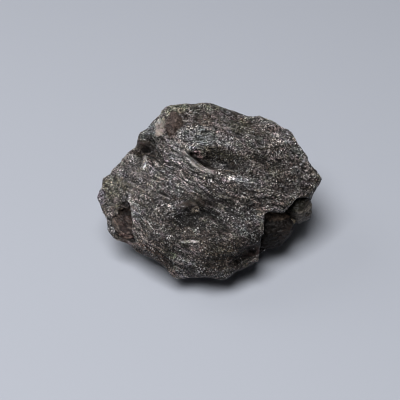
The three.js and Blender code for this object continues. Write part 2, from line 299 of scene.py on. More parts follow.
def beside_line(places, line):
    """How far each place lies above a line, and how near to its ends: 0 there, 1 well inside."""
    flat = places[:, :2]
    nearest = np.full(len(flat), np.inf)
    above = np.zeros(len(flat))
    reached = np.zeros(len(flat))
    corners = [np.array(corner, float) for corner in line]
    length = 0.0
    for start, end in zip(corners, corners[1:]):
        step = end - start
        size = float(np.hypot(*step))
        share = np.clip((flat - start) @ step / size**2, 0, 1)
        away = flat - (start + share[:, None] * step)
        distance = np.hypot(away[:, 0], away[:, 1])
        side = np.sign(step[0] * away[:, 1] - step[1] * away[:, 0])
        closer = distance < nearest
        nearest = np.where(closer, distance, nearest)
        above = np.where(closer, distance * side, above)
        reached = np.where(closer, length + share * size, reached)
        length += size
    ends = np.clip(np.minimum(reached, length - reached) / (TAPER * length), 0, 1)
    return above, np.sqrt(ends)


def facing_out(mesh, margin):
    """1 on the broad face and 0 on the back. `margin` is how far round the edge it reaches."""
    return np.clip((normals_of(mesh) @ np.array(OUT) + margin) / SIDE_WIDTH, 0, 1)


extent = np.ptp(face_places(points_of(block.data)), axis=0)
print("the block reaches", [round(float(size), 1) for size in extent], "mm across, up and out")

# %% [markdown]
# ## Worn corners
#
# The solid has sharp edges where two flat cuts meet. On the real block some have crumbled into a
# rounded brow. The Smooth modifier wears them down, and a vertex group holds it to the named places.

# %% Wear the corners round
SOFTENED = [
    # middle (across, up), (half length, half width), turn in degrees, how much
    ((3.4, 11.0), (8.6, 1.8), -12, 1.0),
    ((9.6, 7.0), (2.2, 2.6), 0, 1.0),
    ((-21.6, 6.0), (6.0, 1.8), 90, 1.0),
    ((-3.4, -7.6), (8.4, 4.4), 0, 0.7),
    ((9.5, -16.6), (6.5, 3.0), 20, 0.6),
    ((-8.6, 15.0), (2.4, 1.6), -45, 0.7),
]
WEAR_STEPS = 40
LEAST_WEAR = 0.01


def soften(piece):
    """Wears the corners of a piece round, only where SOFTENED says so."""
    places = face_places(points_of(piece.data))
    share = np.zeros(len(places))
    for at, radii, turn, amount in SOFTENED:
        share = np.maximum(share, amount * patch(places, at, radii, turn))
    group = piece.vertex_groups.new(name="worn")
    worn = np.flatnonzero(share > LEAST_WEAR)
    for i in worn:
        group.add([int(i)], float(share[i]), "REPLACE")
    modifier = piece.modifiers.new("wear", "SMOOTH")
    modifier.vertex_group = "worn"
    modifier.factor = 0.5
    modifier.iterations = WEAR_STEPS
    settle(piece)
    piece.vertex_groups.clear()
    return len(worn)


print(soften(block), "corners worn")

# %% [markdown]
# ## Lips, cracks and scoops
#
# Where a layer has lifted, its edge stands proud as a lip with a dark crack along the upper side. The
# solid has the large hollows; the lips over them are too thin for it. Each is a line of points on the
# face, with the height of the lip and the depth of the crack beside it. A scoop is the round socket of
# a crystal that has gone. They are pushed straight in and out of the face, and the block is re-meshed
# afterwards, so that the steep walls get cells of the same size as the rest.

# %% Carve the face
LIPS = [
    # line of (across, up), lip height, lip width, crack depth, crack width
    ([(-10.5, 12.6), (-6.3, 10.3), (-4.7, 9.0), (-2.7, 7.2), (-0.8, 6.1), (1.6, 5.5)], 1.1, 1.7, 2.4, 0.6),
    ([(-13.6, 13.4), (-16.0, 14.0), (-18.8, 13.6)], 0.3, 1.0, 0.8, 0.5),
    ([(0.2, 5.9), (3.6, 4.6), (7.2, 3.3), (12.4, 0.8)], 0.5, 1.3, 0.3, 0.8),
    ([(-18.5, 10.6), (-15.5, 9.4), (-12.6, 7.9), (-9.8, 6.4)], 0.5, 1.6, 1.5, 0.8),
    ([(-13.4, -1.2), (-11.0, -1.5), (-8.8, -2.4)], 0.4, 1.2, 1.2, 0.6),
    ([(-8.4, -1.6), (-5.6, -3.0), (-2.6, -4.0), (1.0, -4.4), (4.0, -5.2)], 1.2, 1.6, -1.2, 0.9),
    ([(11.5, 2.6), (15.0, 1.0), (18.0, -0.2), (21.0, -1.9)], 0.6, 1.4, 1.0, 0.7),
    ([(-2.0, 1.6), (3.0, -0.2), (8.0, -1.2), (12.5, -1.8)], 0.5, 1.4, 0.9, 0.7),
    ([(-24.5, 4.2), (-20.0, 2.2), (-16.5, -0.2)], 0.4, 1.4, 0.8, 0.7),
    ([(3.6, -18.2), (5.4, -17.8), (7.4, -19.0)], 0.2, 0.8, 1.2, 0.9),
    ([(8.8, -15.4), (10.4, -15.8), (11.8, -17.2)], 0.2, 0.8, 1.3, 1.0),
]
SCOOPS = [
    # middle (across, up), (half length, half width), turn in degrees, depth
    ((19.5, 9.5), (3.0, 2.0), -50, 0.6),
    # and between the right-hand crystals, where the rock closes round them, it is built up instead
    ((20.9, -7.4), (2.2, 1.2), 40, -2.2),
]
BUILT_UP_BELOW = 2.0  # how far out of the face the rock may be built up, in millimetres
CRACK_TAPER = 2.5  # a crack thins out over this many times its width


def carve(mesh):
    points = points_of(mesh)
    places = face_places(points)
    bend = 0.5 * ragged(places, size=2.2, shift=4.0)
    front = facing_out(mesh, margin=0.1)
    raised = np.zeros(len(points))
    for line, height, width, depth, gap in LIPS:
        above, ends = beside_line(places, line)
        above = above + bend
        lip = height * np.exp(np.minimum(above, 0) / width) * (above < 0)
        crack = -depth * np.clip(1 - above / (CRACK_TAPER * gap), 0, 1) ** 2 * (above >= 0)
        raised += (lip + crack) * ends
    for at, radii, turn, depth in SCOOPS:
        inside = patch(places, at, radii, turn, 0.3 * bend)
        raised -= depth * np.sqrt(inside) * (places[:, 2] < BUILT_UP_BELOW if depth < 0 else 1)
    move_points(mesh, points + np.outer(raised * front, np.array(OUT)))
    return raised


moved = carve(block.data)
remesh(block, CELL)
print("carved from", round(float(moved.min()), 1), "to", round(float(moved.max()), 1), "mm")

# %% [markdown]
# ## Where the layers lie
#
# Schist splits along its layers, so the layers decide where ledges run. They dip into the face, curve
# from steep on the left to nearly level on the right, and are rippled. `layer_place` says how many
# millimetres a point lies above the lowest layer, and everything layered later on reads it: ledges,
# lens-shaped flakes, colour bands and the way the grains are drawn out.

# %% The layers
LAYER_WAVES = [
    # height in mm, and how fast the wave turns across, up and out, in radians per mm, then its start
    (0.60, 0.31, 0.22, 0.00, 0.8),
    (0.20, 0.62, -0.35, 0.40, 2.1),
    (0.07, 1.15, 0.80, -0.50, 0.3),
]
GRAIN_STEEPNESS = 0.46  # the grain runs more squarely into the face than the layers do


def layer_place(places):
    across, up, out = places.T
    place = 0.84 * up + 0.30 * across - 0.005 * across**2 + 0.49 * out
    for height, per_across, per_up, per_out, start in LAYER_WAVES:
        place += height * np.sin(per_across * across + per_up * up + per_out * out + start)
    return place


layer_range = np.ptp(layer_place(face_places(points_of(block.data))))
print("the layers run through", round(float(layer_range), 1), "mm")

# %% [markdown]
# ## Where the layers show
#
# In some patches the rock shows its layers as thin sheets, one over the other. Elsewhere the mica lies
# as a felt without any lines. The relief and the looks both need to know which, so it is written on the
# corners of the mesh as an attribute, together with each corner's layer.

# %% Write the layers on the block
LAMINATED = [
    # middle (across, up), (half length, half width), turn in degrees, how plainly the layers show
    ((-7.0, 4.6), (12.5, 5.0), -34, 1.0),
    ((7.0, -1.2), (14.0, 3.8), -10, 1.0),
    ((6.0, 16.0), (13.0, 4.0), -18, 0.45),
    ((-13.5, -3.0), (5.5, 2.2), -28, 0.6),
    ((2.5, 9.3), (7.5, 1.8), -12, 0.3),
    ((9.0, -8.0), (6.0, 3.0), -8, 0.35),
    ((-14.5, -16.5), (6.0, 2.0), -30, 0.5),
]
FELT = 0.30  # how plainly the layers show everywhere else


def write_strata(mesh):
    """Gives each corner its layer, and its place in the drawn-out grain: across, through it, and out."""
    places = face_places(points_of(mesh))
    layer = layer_place(places)
    write_numbers(mesh, "layer", layer)
    through = layer - GRAIN_STEEPNESS * places[:, 2]
    strata = mesh.attributes.new("strata", "FLOAT_VECTOR", "POINT")
    drawn = np.stack([places[:, 0], through, places[:, 2]], axis=1)
    strata.data.foreach_set("vector", drawn.astype(np.float32).ravel())
    edge = ragged(places, size=3.0, shift=8.0)
    plainly = np.full(len(places), FELT)
    for at, radii, turn, share in LAMINATED:
        plainly = np.maximum(plainly, share * patch(places, at, radii, turn, edge))
    write_numbers(mesh, "laminated", plainly)
    return plainly


laminated = write_strata(block.data)
print("the layers show plainly on", round(100 * float((laminated > 0.5).mean())), "% of the block")

# %% [markdown]
# ## Short hands for node trees
#
# Both the surface relief (Geometry Nodes) and the looks (shader nodes) are written as trees of nodes.
# `put` adds a node and fills or links its inputs in one line. `calc` is the same for arithmetic on
# numbers, and `calc_vector` for places and colours, so that a tree reads like the sum it works out.

# %% Helpers for node trees
def put(tree, kind, inputs=None, **settings):
    """Adds a node. Each input is a value, or the output of another node."""
    node = tree.nodes.new(kind)
    for setting, value in settings.items():
        setattr(node, setting, value)
    for socket, value in (inputs or {}).items():
        if isinstance(value, bpy.types.NodeSocket):
            tree.links.new(value, node.inputs[socket])
        else:
            node.inputs[socket].default_value = value
    return node


def calc(tree, operation, *values):
    """Arithmetic on numbers. More than two are taken from left to right."""
    first_two = dict(enumerate(values[:2]))
    found = put(tree, "ShaderNodeMath", first_two, operation=operation).outputs[0]
    return calc(tree, operation, found, *values[2:]) if len(values) > 2 else found


def calc_vector(tree, operation, *values):
    """Arithmetic on places or colours."""
    return put(tree, "ShaderNodeVectorMath", dict(enumerate(values)), operation=operation).outputs[0]


def scaled(tree, vector, amount):
    """A place or a colour, multiplied by one number."""
    return put(tree, "ShaderNodeVectorMath", {0: vector, "Scale": amount}, operation="SCALE").outputs[0]


def dot(tree, one, other):
    """How far one vector reaches along another."""
    return put(tree, "ShaderNodeVectorMath", {0: one, 1: other}, operation="DOT_PRODUCT").outputs["Value"]


def apart(tree, vector):
    """The three numbers of a place or a colour."""
    return put(tree, "ShaderNodeSeparateXYZ", {0: vector}).outputs


def centred(tree, value):
    """Turns the range 0..1 into -0.5..0.5."""
    return calc(tree, "SUBTRACT", value, 0.5)


def spread(tree, value, low, high, to_low=0.0, to_high=1.0, smooth=True):
    """Takes the range low..high of a value to to_low..to_high, and holds it there beyond."""
    kind = "SMOOTHSTEP" if smooth else "LINEAR"
    inputs = {"Value": value, "From Min": low, "From Max": high, "To Min": to_low, "To Max": to_high}
    return put(tree, "ShaderNodeMapRange", inputs, interpolation_type=kind).outputs["Result"]


def clouds(tree, where, scale, detail=2.0):
    """Soft noise from 0 to 1."""
    inputs = {"Vector": where, "Scale": scale, "Detail": detail}
    return put(tree, "ShaderNodeTexNoise", inputs).outputs[0]


def attribute(tree, name):
    """A number that was written on the mesh, for Geometry Nodes."""
    return put(tree, "GeometryNodeInputNamedAttribute", {"Name": name}, data_type="FLOAT").outputs[0]


print("helpers for node trees ready")

# %% [markdown]
# ## Ledges
#
# The relief is worked out by one tree of Geometry Nodes, which pushes each corner in or out along its
# normal. Modelling it by hand would take days, and bump alone would leave the outline smooth. The
# largest part is the layers that break off, each with a back that rises gently and an edge that falls
# off steeply. They fade where a layer lies flat in the surface, because there is no edge to see there.

# %% Ledges of the relief
LAYERS_FACE = (0.24 * ACROSS + 0.85 * UP + 0.5 * OUT).normalized()  # which way most layers face
WAVINESS = [(3.0, 0.9), (0.9, 1.1)]  # length of the ripples, and how far they shift a layer, in mm
BACK_RISES_TO = 0.75  # shares of a layer's thickness
EDGE_FALLS_FROM = 0.78
LEAST_SHOWN = 0.4


def lumps(tree, place, size, detail=2.0):
    """Soft noise from 0 to 1 with lumps of `size` millimetres."""
    return clouds(tree, place, calc(tree, "DIVIDE", 1.0, size), detail)


def ledges(tree, given, place, layer, normal):
    """How far the broken layers stand out or back."""
    wavy = layer
    for size, reach in WAVINESS:
        ripple = centred(tree, lumps(tree, place, size))
        wavy = calc(tree, "ADD", wavy, calc(tree, "MULTIPLY", ripple, reach))
    count = calc(tree, "DIVIDE", wavy, given["Layer spacing"])
    number = calc(tree, "FLOOR", count)
    share = calc(tree, "FRACT", count)
    back = spread(tree, share, 0.0, BACK_RISES_TO)
    ledge = calc(tree, "SUBTRACT", back, spread(tree, share, EDGE_FALLS_FROM, 1.0))

    # each layer stands out by its own amount, in some places more than in others
    own = put(tree, "ShaderNodeTexWhiteNoise", {"W": number}, noise_dimensions="1D").outputs["Value"]
    some_places = spread(tree, lumps(tree, place, 5.0), 0.35, 0.60, 0.3, 1.0)
    some_layers = calc(tree, "ADD", own, LEAST_SHOWN)
    shown = calc(tree, "MULTIPLY", some_places, some_layers, attribute(tree, "laminated"))
    cut_across = spread(tree, calc(tree, "ABSOLUTE", dot(tree, normal, LAYERS_FACE)), 0.6, 0.95, 1.0, 0.15)
    return calc(tree, "MULTIPLY", centred(tree, ledge), shown, given["Layer height"], cut_across)


print("layers face", [round(c, 2) for c in LAYERS_FACE])

# %% [markdown]
# ## Lenses, flakes and grains
#
# Between the ledges the rock is made of smaller things. Lenses a few millimetres long and flakes a
# third as long stand at slightly different heights. Both are cells of one Voronoi pattern, stretched so
# that they lie in the layers. Packed round grains and a fine roughness cover everything.

# %% Lenses, flakes and grains of the relief
LENS_THICKNESS = 0.30  # shares of the length
FLAKE_THICKNESS = 0.40
FLAKE_SHIFT = 9.0  # so that the flakes don't follow the lenses
DOME_LEVEL = 0.45  # so that the grains' domes rise and fall about the surface


def lying_cells(tree, across, outward, layer, length, thickness, shift):
    """A height from -0.5 to 0.5 for each cell of a pattern that is long in the layers and thin."""
    thin = calc(tree, "DIVIDE", layer, calc(tree, "MULTIPLY", length, thickness))
    along = calc(tree, "ADD", calc(tree, "DIVIDE", across, length), shift)
    deep = calc(tree, "DIVIDE", outward, length)
    where = put(tree, "ShaderNodeCombineXYZ", {0: along, 1: deep, 2: thin}).outputs[0]
    found = put(tree, "ShaderNodeTexVoronoi", {"Vector": where, "Scale": 1.0}).outputs["Color"]
    return centred(tree, apart(tree, found)[0])


def round_grains(tree, given, place):
    """Packed domes with a fine roughness over them."""
    size = calc(tree, "DIVIDE", 1.0, given["Grain size"])
    from_middle = put(tree, "ShaderNodeTexVoronoi", {"Vector": place, "Scale": size}).outputs["Distance"]
    domes = calc(tree, "MULTIPLY", calc(tree, "SUBTRACT", DOME_LEVEL, from_middle), given["Grain height"])
    fine = centred(tree, lumps(tree, place, 0.6, 3.0))
    return calc(tree, "ADD", domes, calc(tree, "MULTIPLY", fine, given["Grain height"]))


print("lenses are", LENS_THICKNESS, "as thick as they are long, flakes", FLAKE_THICKNESS)

# %% [markdown]
# ## Trees that shape a piece
#
# A tree of Geometry Nodes has a socket for each size, so that one tree can serve the block and the
# crystals with sizes of their own. The tree also keeps, on each corner, how deep the corner lies under
# its surroundings. The looks paint shade there, darker the deeper a corner lies.

# %% Helpers for trees that shape a piece
def shape_tree(name, inputs):
    """A new tree of Geometry Nodes with named inputs, and the sockets that bring them in."""
    tree = bpy.data.node_groups.new(name, "GeometryNodeTree")
    tree.interface.new_socket("Geometry", in_out="INPUT", socket_type="NodeSocketGeometry")
    for title, value in inputs.items():
        kind = "NodeSocketInt" if isinstance(value, int) else "NodeSocketFloat"
        socket = tree.interface.new_socket(title, in_out="INPUT", socket_type=kind)
        socket.default_value = value
    tree.interface.new_socket("Geometry", in_out="OUTPUT", socket_type="NodeSocketGeometry")
    return tree, tree.nodes.new("NodeGroupInput").outputs


def apply_tree(piece, tree, values):
    """Runs a tree on a piece with its inputs set, and keeps the result as a plain mesh."""
    modifier = piece.modifiers.new(tree.name, "NODES")
    modifier.node_group = tree
    for socket in tree.interface.items_tree:
        if socket.in_out == "INPUT" and socket.name in values:
            modifier[socket.identifier] = values[socket.name]
    settle(piece)


def store_depth(tree, shape, name, steps):
    """Writes how deep each corner lies under its surroundings, averaged over some steps."""
    here = put(tree, "GeometryNodeInputPosition").outputs[0]
    inputs = {"Value": here, "Iterations": steps}
    around = put(tree, "GeometryNodeBlurAttribute", inputs, data_type="FLOAT_VECTOR").outputs[0]
    normal = put(tree, "GeometryNodeInputNormal").outputs[0]
    depth = calc(tree, "DIVIDE", dot(tree, calc_vector(tree, "SUBTRACT", around, here), normal), MM)
    inputs = {"Geometry": shape, "Name": name, "Value": depth}
    settings = {"data_type": "FLOAT", "domain": "POINT"}
    return put(tree, "GeometryNodeStoreNamedAttribute", inputs, **settings).outputs[0]


print("helpers for trees that shape a piece ready")

# %% [markdown]
# ## The whole relief
#
# The tree adds up ledges, lenses, flakes and grains. The large parts fade on the sides, so that the
# outline stays calm, and nothing moves at the foot, which lies flat.

# %% The relief tree
RELIEF = {
    "Layer spacing": 1.5,
    "Layer height": 0.70,
    "Lens length": 5.5,
    "Lens height": 0.34,
    "Flake length": 2.0,
    "Flake height": 0.15,
    "Grain size": 0.75,
    "Grain height": 0.16,
    "Flat below": 0.25,
}
DEPTHS = {"crease": 5, "hollow": 160}  # name: over how many steps the surroundings are averaged
FOOT = 1.4  # over how many millimetres above the flat foot the relief comes in


def relief_tree():
    tree, given = shape_tree("schist relief", RELIEF)
    normal = put(tree, "GeometryNodeInputNormal").outputs[0]
    place = scaled(tree, put(tree, "GeometryNodeInputPosition").outputs[0], 1 / MM)
    layer = attribute(tree, "layer")
    x, y, z = apart(tree, place)
    outward = calc(tree, "SUBTRACT", calc(tree, "MULTIPLY", z, OUT.z), calc(tree, "MULTIPLY", y, -OUT.y))

    def lying(kind, thickness, shift):
        found = lying_cells(tree, x, outward, layer, given[kind + " length"], thickness, shift)
        return calc(tree, "MULTIPLY", found, given[kind + " height"])

    layers = ledges(tree, given, place, layer, normal)
    lenses = lying("Lens", LENS_THICKNESS, 0.0)
    flakes = lying("Flake", FLAKE_THICKNESS, FLAKE_SHIFT)
    grains = round_grains(tree, given, place)

    sides = spread(tree, dot(tree, normal, OUT), 0.1, 0.8, 0.5, 1.0)
    above = spread(tree, z, given["Flat below"], calc(tree, "ADD", given["Flat below"], FOOT))
    large = calc(tree, "MULTIPLY", calc(tree, "ADD", layers, lenses), sides)
    total = calc(tree, "ADD", large, calc(tree, "ADD", flakes, grains))
    offset = scaled(tree, normal, calc(tree, "MULTIPLY", total, above, MM))
    inputs = {"Geometry": given["Geometry"], "Offset": offset}
    shape = put(tree, "GeometryNodeSetPosition", inputs).outputs[0]
    for name, steps in DEPTHS.items():
        shape = store_depth(tree, shape, name, steps)
    put(tree, "NodeGroupOutput", {"Geometry": shape})
    return tree


def rest_flat(mesh):
    """Nothing reaches below the surface that the specimen lies on."""
    places = points_of(mesh)
    places[:, 2] = np.maximum(places[:, 2], 0)
    move_points(mesh, places)


relief = relief_tree()
apply_tree(block, relief, RELIEF)
rest_flat(block.data)
print("relief done:", triangles_in(block.data), "triangles")

# %% [markdown]
# ## Stains, grains and bare patches
#
# A stone isn't one colour. Rust has crept in along the lower edge, one facet is bare and cream-coloured,
# and mica lies thicker in some patches. Each of these is named here with its place on the face, its size
# and its colour, and is painted on the corners of the mesh with a ragged edge. Paint on the mesh is
# simpler than a mask in the material for each one.

# %% Stains
# Most of these are the rock's own colour. The ones marked below and the scar shadow are painted shade, and
# two are painted light.
STAINS_LIGHT_AND_SHADE = {
    # name: (across, up), (half length, half width), turn in degrees, colour, strength, glitter
    "grey skin": ((-16.0, 16.4), (3.2, 1.6), 50, (0.225, 0.228, 0.235), 0.85, 0.3),
    "cream facet": ((-13.4, 17.2), (2.6, 1.4), 84, (0.325, 0.285, 0.25), 1.0, 0.1),
    "white corner": ((-14.0, 18.7), (0.9, 0.6), 60, (0.46, 0.44, 0.42), 0.9, 0.1),
    "reddish rim": ((-9.4, 17.6), (2.6, 3.6), -15, (0.062, 0.044, 0.038), 0.8, 0.3),
    "mossy patch": ((-9.4, 22.2), (3.4, 1.5), 10, (0.11, 0.105, 0.070), 0.7, 0.5),
    "mossy crest": ((-2.0, 22.8), (6.0, 1.2), 0, (0.10, 0.098, 0.072), 0.6, 0.4),
    "brown above": ((-2.0, 18.6), (5.0, 1.2), -8, (0.070, 0.052, 0.042), 0.7, 0.6),
    "sparkling patch": ((-6.8, 14.9), (2.0, 1.7), -30, (0.21, 0.205, 0.205), 0.7, 2.6),
    "fine grey patch": ((-2.4, 13.8), (4.4, 2.8), -10, (0.145, 0.155, 0.160), 0.7, 0.9),
    "violet patch": ((4.5, 13.0), (3.6, 1.8), -25, (0.125, 0.115, 0.125), 0.6, 0.9),
    "olive patch": ((8.5, 17.0), (3.5, 2.0), -20, (0.095, 0.090, 0.062), 0.6, 0.8),
    "brown cup": ((-17.6, 12.2), (2.1, 1.7), -10, (0.040, 0.029, 0.024), 0.95, 0.05),
    # painted light on the right side of the cup, which lies in the socket's shade
    "right of the cup": ((-14.8, 12.4), (1.0, 1.4), 0, (0.13, 0.12, 0.11), 0.7, 1.0),
    # painted shade on the cup's brow, over its own dark olive-grey
    "cup brow": ((-16.4, 14.4), (3.2, 0.8), -8, (0.040, 0.041, 0.034), 0.85, 0.3),
    "scar shadow": ((-18.3, 8.0), (1.3, 0.5), 85, (0.040, 0.034, 0.032), 0.8, 0.3),
    # dark olive-brown weathering with painted shade, in the hollow under the lip
    "dark hollow": ((3.2, 8.4), (6.8, 2.5), -18, (0.046, 0.038, 0.032), 0.9, 0.4),
    # painted shade in the dip at the end of the hollow
    "dark end of the hollow": ((7.6, 6.2), (4.2, 1.4), -14, (0.040, 0.033, 0.029), 0.8, 0.6),
    "olive strata": ((2.6, 9.9), (4.8, 1.2), -12, (0.050, 0.043, 0.032), 0.85, 0.28),
    "reddish flakes": ((-2.9, 9.3), (1.8, 0.8), -30, (0.12, 0.080, 0.072), 0.8, 0.8),
    "sparks over the lip": ((2.9, 6.3), (2.1, 0.7), -16, (0.15, 0.145, 0.14), 0.7, 3.2),
    "white flake in the hollow": ((3.5, 6.5), (0.7, 0.35), 15, (0.52, 0.49, 0.46), 0.9, 1.0),
    "white flakes": ((5.6, 3.3), (1.3, 0.8), 0, (0.47, 0.455, 0.44), 0.9, 1.6),
    "white flakes right": ((17.0, 4.6), (1.4, 0.6), -15, (0.42, 0.38, 0.34), 0.8, 2.0),
    "grey shelf": ((10.5, 2.2), (3.6, 1.2), -15, (0.38, 0.365, 0.375), 0.85, 1.1),
    "dark gap": ((9.6, 0.7), (2.4, 0.6), -18, (0.036, 0.032, 0.033), 0.8, 0.5),
    "olive left": ((-25.4, 0.8), (3.4, 2.8), 0, (0.135, 0.120, 0.080), 0.6, 0.8),
    "violet edge": ((-29.0, -1.7), (1.3, 1.8), 0, (0.13, 0.11, 0.14), 0.6, 0.8),
    "olive lip": ((-4.0, -3.2), (3.8, 0.8), 10, (0.042, 0.032, 0.023), 0.9, 0.2),
    "reddish end of the lip": ((0.0, -3.4), (2.4, 1.0), 8, (0.034, 0.025, 0.022), 0.85, 0.4),
    # these two are painted shade in the scoop under the olive lip, over its own dark mottled colour
    "dark scoop": ((-4.4, -6.9), (6.4, 2.7), -4, (0.036, 0.033, 0.032), 0.8, 0.9),
    "black scoop": ((-5.4, -7.9), (3.4, 1.8), 0, (0.026, 0.022, 0.021), 0.8, 0.8),
    "cream flakes": ((-3.6, -5.2), (0.95, 0.8), 0, (0.62, 0.54, 0.44), 0.9, 1.6),
    "cream flakes below": ((-1.6, -7.5), (0.9, 0.5), 0, (0.62, 0.56, 0.48), 0.9, 1.4),
    "white flakes by them": ((1.0, -8.4), (0.9, 0.4), -45, (0.60, 0.60, 0.60), 0.9, 1.4),
    "white flakes under them": ((-3.6, -10.6), (1.2, 0.5), -30, (0.30, 0.285, 0.28), 0.8, 1.4),
    "olive front": ((3.6, -15.6), (3.4, 2.4), 25, (0.115, 0.092, 0.072), 0.7, 0.45),
    "sparkling band": ((-11.2, -10.6), (4.4, 1.6), -22, (0.125, 0.121, 0.124), 0.5, 1.25),
    "sparkling step": ((8.0, -6.8), (5.5, 2.4), -8, (0.110, 0.112, 0.120), 0.5, 1.7),
    "pinkish foot of the socket": ((-22.2, -13.9), (2.4, 1.0), -8, (0.13, 0.108, 0.104), 0.8, 0.2),
    "quiet patch in the band": ((-10.6, -13.0), (1.4, 0.9), 0, (0.105, 0.096, 0.094), 0.5, 0.35),
    "quiet patch above it": ((-14.4, -11.4), (1.8, 1.0), -35, (0.105, 0.098, 0.096), 0.4, 0.5),
    "pink grains": ((-3.2, -15.1), (2.8, 0.7), -4, (0.22, 0.18, 0.165), 0.7, 1.2),
    "sparkling front": ((-6.7, -18.2), (2.2, 1.4), -15, (0.12, 0.11, 0.11), 0.6, 2.6),
    "rust band": ((-15.5, -16.1), (4.6, 1.8), -28, (0.105, 0.072, 0.058), 0.7, 0.4),
    "rusty edge": ((-11.5, -20.3), (3.6, 1.3), -32, (0.10, 0.072, 0.055), 0.7, 0.5),
    # painted light on the brown under the shelf edge, which lies in the shelf's shade
    "under the shelf edge": ((17.4, -6.6), (4.4, 0.7), -4, (0.11, 0.09, 0.07), 0.8, 0.4),
    "under the shelf end": ((24.2, -2.6), (3.6, 0.8), 18, (0.056, 0.048, 0.034), 0.8, 0.4),
    "lip slope": ((-5.6, 7.0), (5.2, 1.5), -42, (0.19, 0.174, 0.168), 0.7, 0.28),
    "left of the crack": ((-9.0, 11.8), (2.6, 1.0), -30, (0.17, 0.158, 0.153), 0.7, 0.7),
    "green spot": ((-9.5, -16.8), (1.5, 1.0), 0, (0.075, 0.085, 0.058), 0.7, 0.8),
    "brown front": ((1.4, -17.6), (3.2, 3.4), 10, (0.070, 0.056, 0.043), 0.75, 0.6),
    "dark foot": ((9.0, -17.4), (6.0, 1.8), 18, (0.072, 0.056, 0.046), 0.8, 0.4),
    "reddish hollow": ((11.6, -15.7), (2.8, 1.5), 20, (0.092, 0.064, 0.057), 0.9, 0.15),
    "pale ledge": ((10.4, -18.3), (3.2, 0.45), 22, (0.27, 0.25, 0.235), 0.8, 1.4),
}
print(len(STAINS_LIGHT_AND_SHADE), "stains")

# %% [markdown]
# ## Strokes and socket walls
#
# Some marks are long and narrow: the pale broken edge of the lip with a painted highlight along it, the
# crack over it painted black as painted shade, the painted shadow under the olive lip, a curved scar
# where a flake came off. They are painted along lines. The walls of a notch look away from the face, so
# the stains don't reach them, and they get two of their own: painted light on the shaded floor under the
# shelf, and painted shade on the walls of the left socket.

# %% Strokes and walls
STROKES = {
    # name: line of (across, up), half width, colour, strength, glitter
    # the lip's pale broken edge, with a painted highlight where it catches the light
    "lip": (
        [(-7.7, 10.7), (-6.9, 10.1), (-5.5, 8.7), (-3.6, 6.8), (-1.9, 5.6), (0.3, 4.9), (2.0, 4.4)],
        0.56, (0.38, 0.345, 0.335), 0.95, 0.15,
    ),
    "lip tail": ([(6.8, 3.1), (10.5, 2.1), (13.8, 0.4)], 0.70, (0.25, 0.24, 0.243), 0.8, 1.2),
    # painted shade: the crack over the lip is painted nearly black
    "crack over the lip": (
        [(-5.9, 10.4), (-4.1, 8.9), (-2.6, 7.8), (-1.2, 6.8), (0.4, 6.3)],
        0.56, (0.010, 0.007, 0.006), 1.0, 0.0,
    ),
    "flake scar": (
        [(-17.9, 9.4), (-17.1, 8.7), (-16.7, 7.5), (-17.0, 6.4), (-17.9, 5.5)],
        0.34, (0.49, 0.465, 0.45), 1.0, 0.1,
    ),
    "dark line by the cup": (
        [(-16.2, 9.4), (-13.6, 8.2), (-10.2, 6.3)],
        0.30, (0.045, 0.034, 0.030), 0.75, 0.3,
    ),
    # painted shadow cast by the olive lip
    "painted shadow under the olive lip": (
        [(-8.2, -4.4), (-6.2, -4.7), (-3.6, -4.2), (-1.0, -3.9), (1.8, -3.4)],
        0.25, (0.020, 0.016, 0.013), 0.9, 0.1,
    ),
    "edge of the reddish hollow": (
        [(4.6, -19.0), (7.0, -18.0), (8.6, -16.2), (9.9, -15.0)],
        0.26, (0.26, 0.235, 0.215), 0.7, 0.5,
    ),
    "socket rim": (
        [(-23.5, -3.3), (-24.7, -4.6), (-25.2, -7.6), (-26.0, -9.2)],
        0.30, (0.30, 0.27, 0.20), 0.7, 0.5,
    ),
    "long flake": ([(-7.8, -13.5), (-5.2, -13.2), (-2.4, -13.3)], 0.28, (0.66, 0.64, 0.60), 0.9, 0.1),
    "streak by the crystal": (
        [(-7.9, 18.3), (-6.8, 18.9), (-5.2, 19.1), (-3.5, 18.5)],
        0.36, (0.30, 0.255, 0.24), 0.85, 0.8,
    ),
}
WALL_LIGHT_AND_SHADE = {
    # name: (across, up), (half length, half width), turn in degrees, colour, strength, and how far out
    # of the face the notch's floor may lie
    # painted light: the brown floor of the notch under the shelf, which lies in shade, is painted lighter
    "under the shelf": ((20.0, -6.5), (9.0, 4.5), 30, (0.100, 0.080, 0.058), 0.9, 3.0),
    # painted shade on the walls of the left socket
    "left socket": ((-22.3, -7.5), (3.0, 5.5), 0, (0.024, 0.017, 0.014), 0.9, 6.8),
}
print(len(STROKES), "strokes and", len(WALL_LIGHT_AND_SHADE), "walls in painted light and shade")
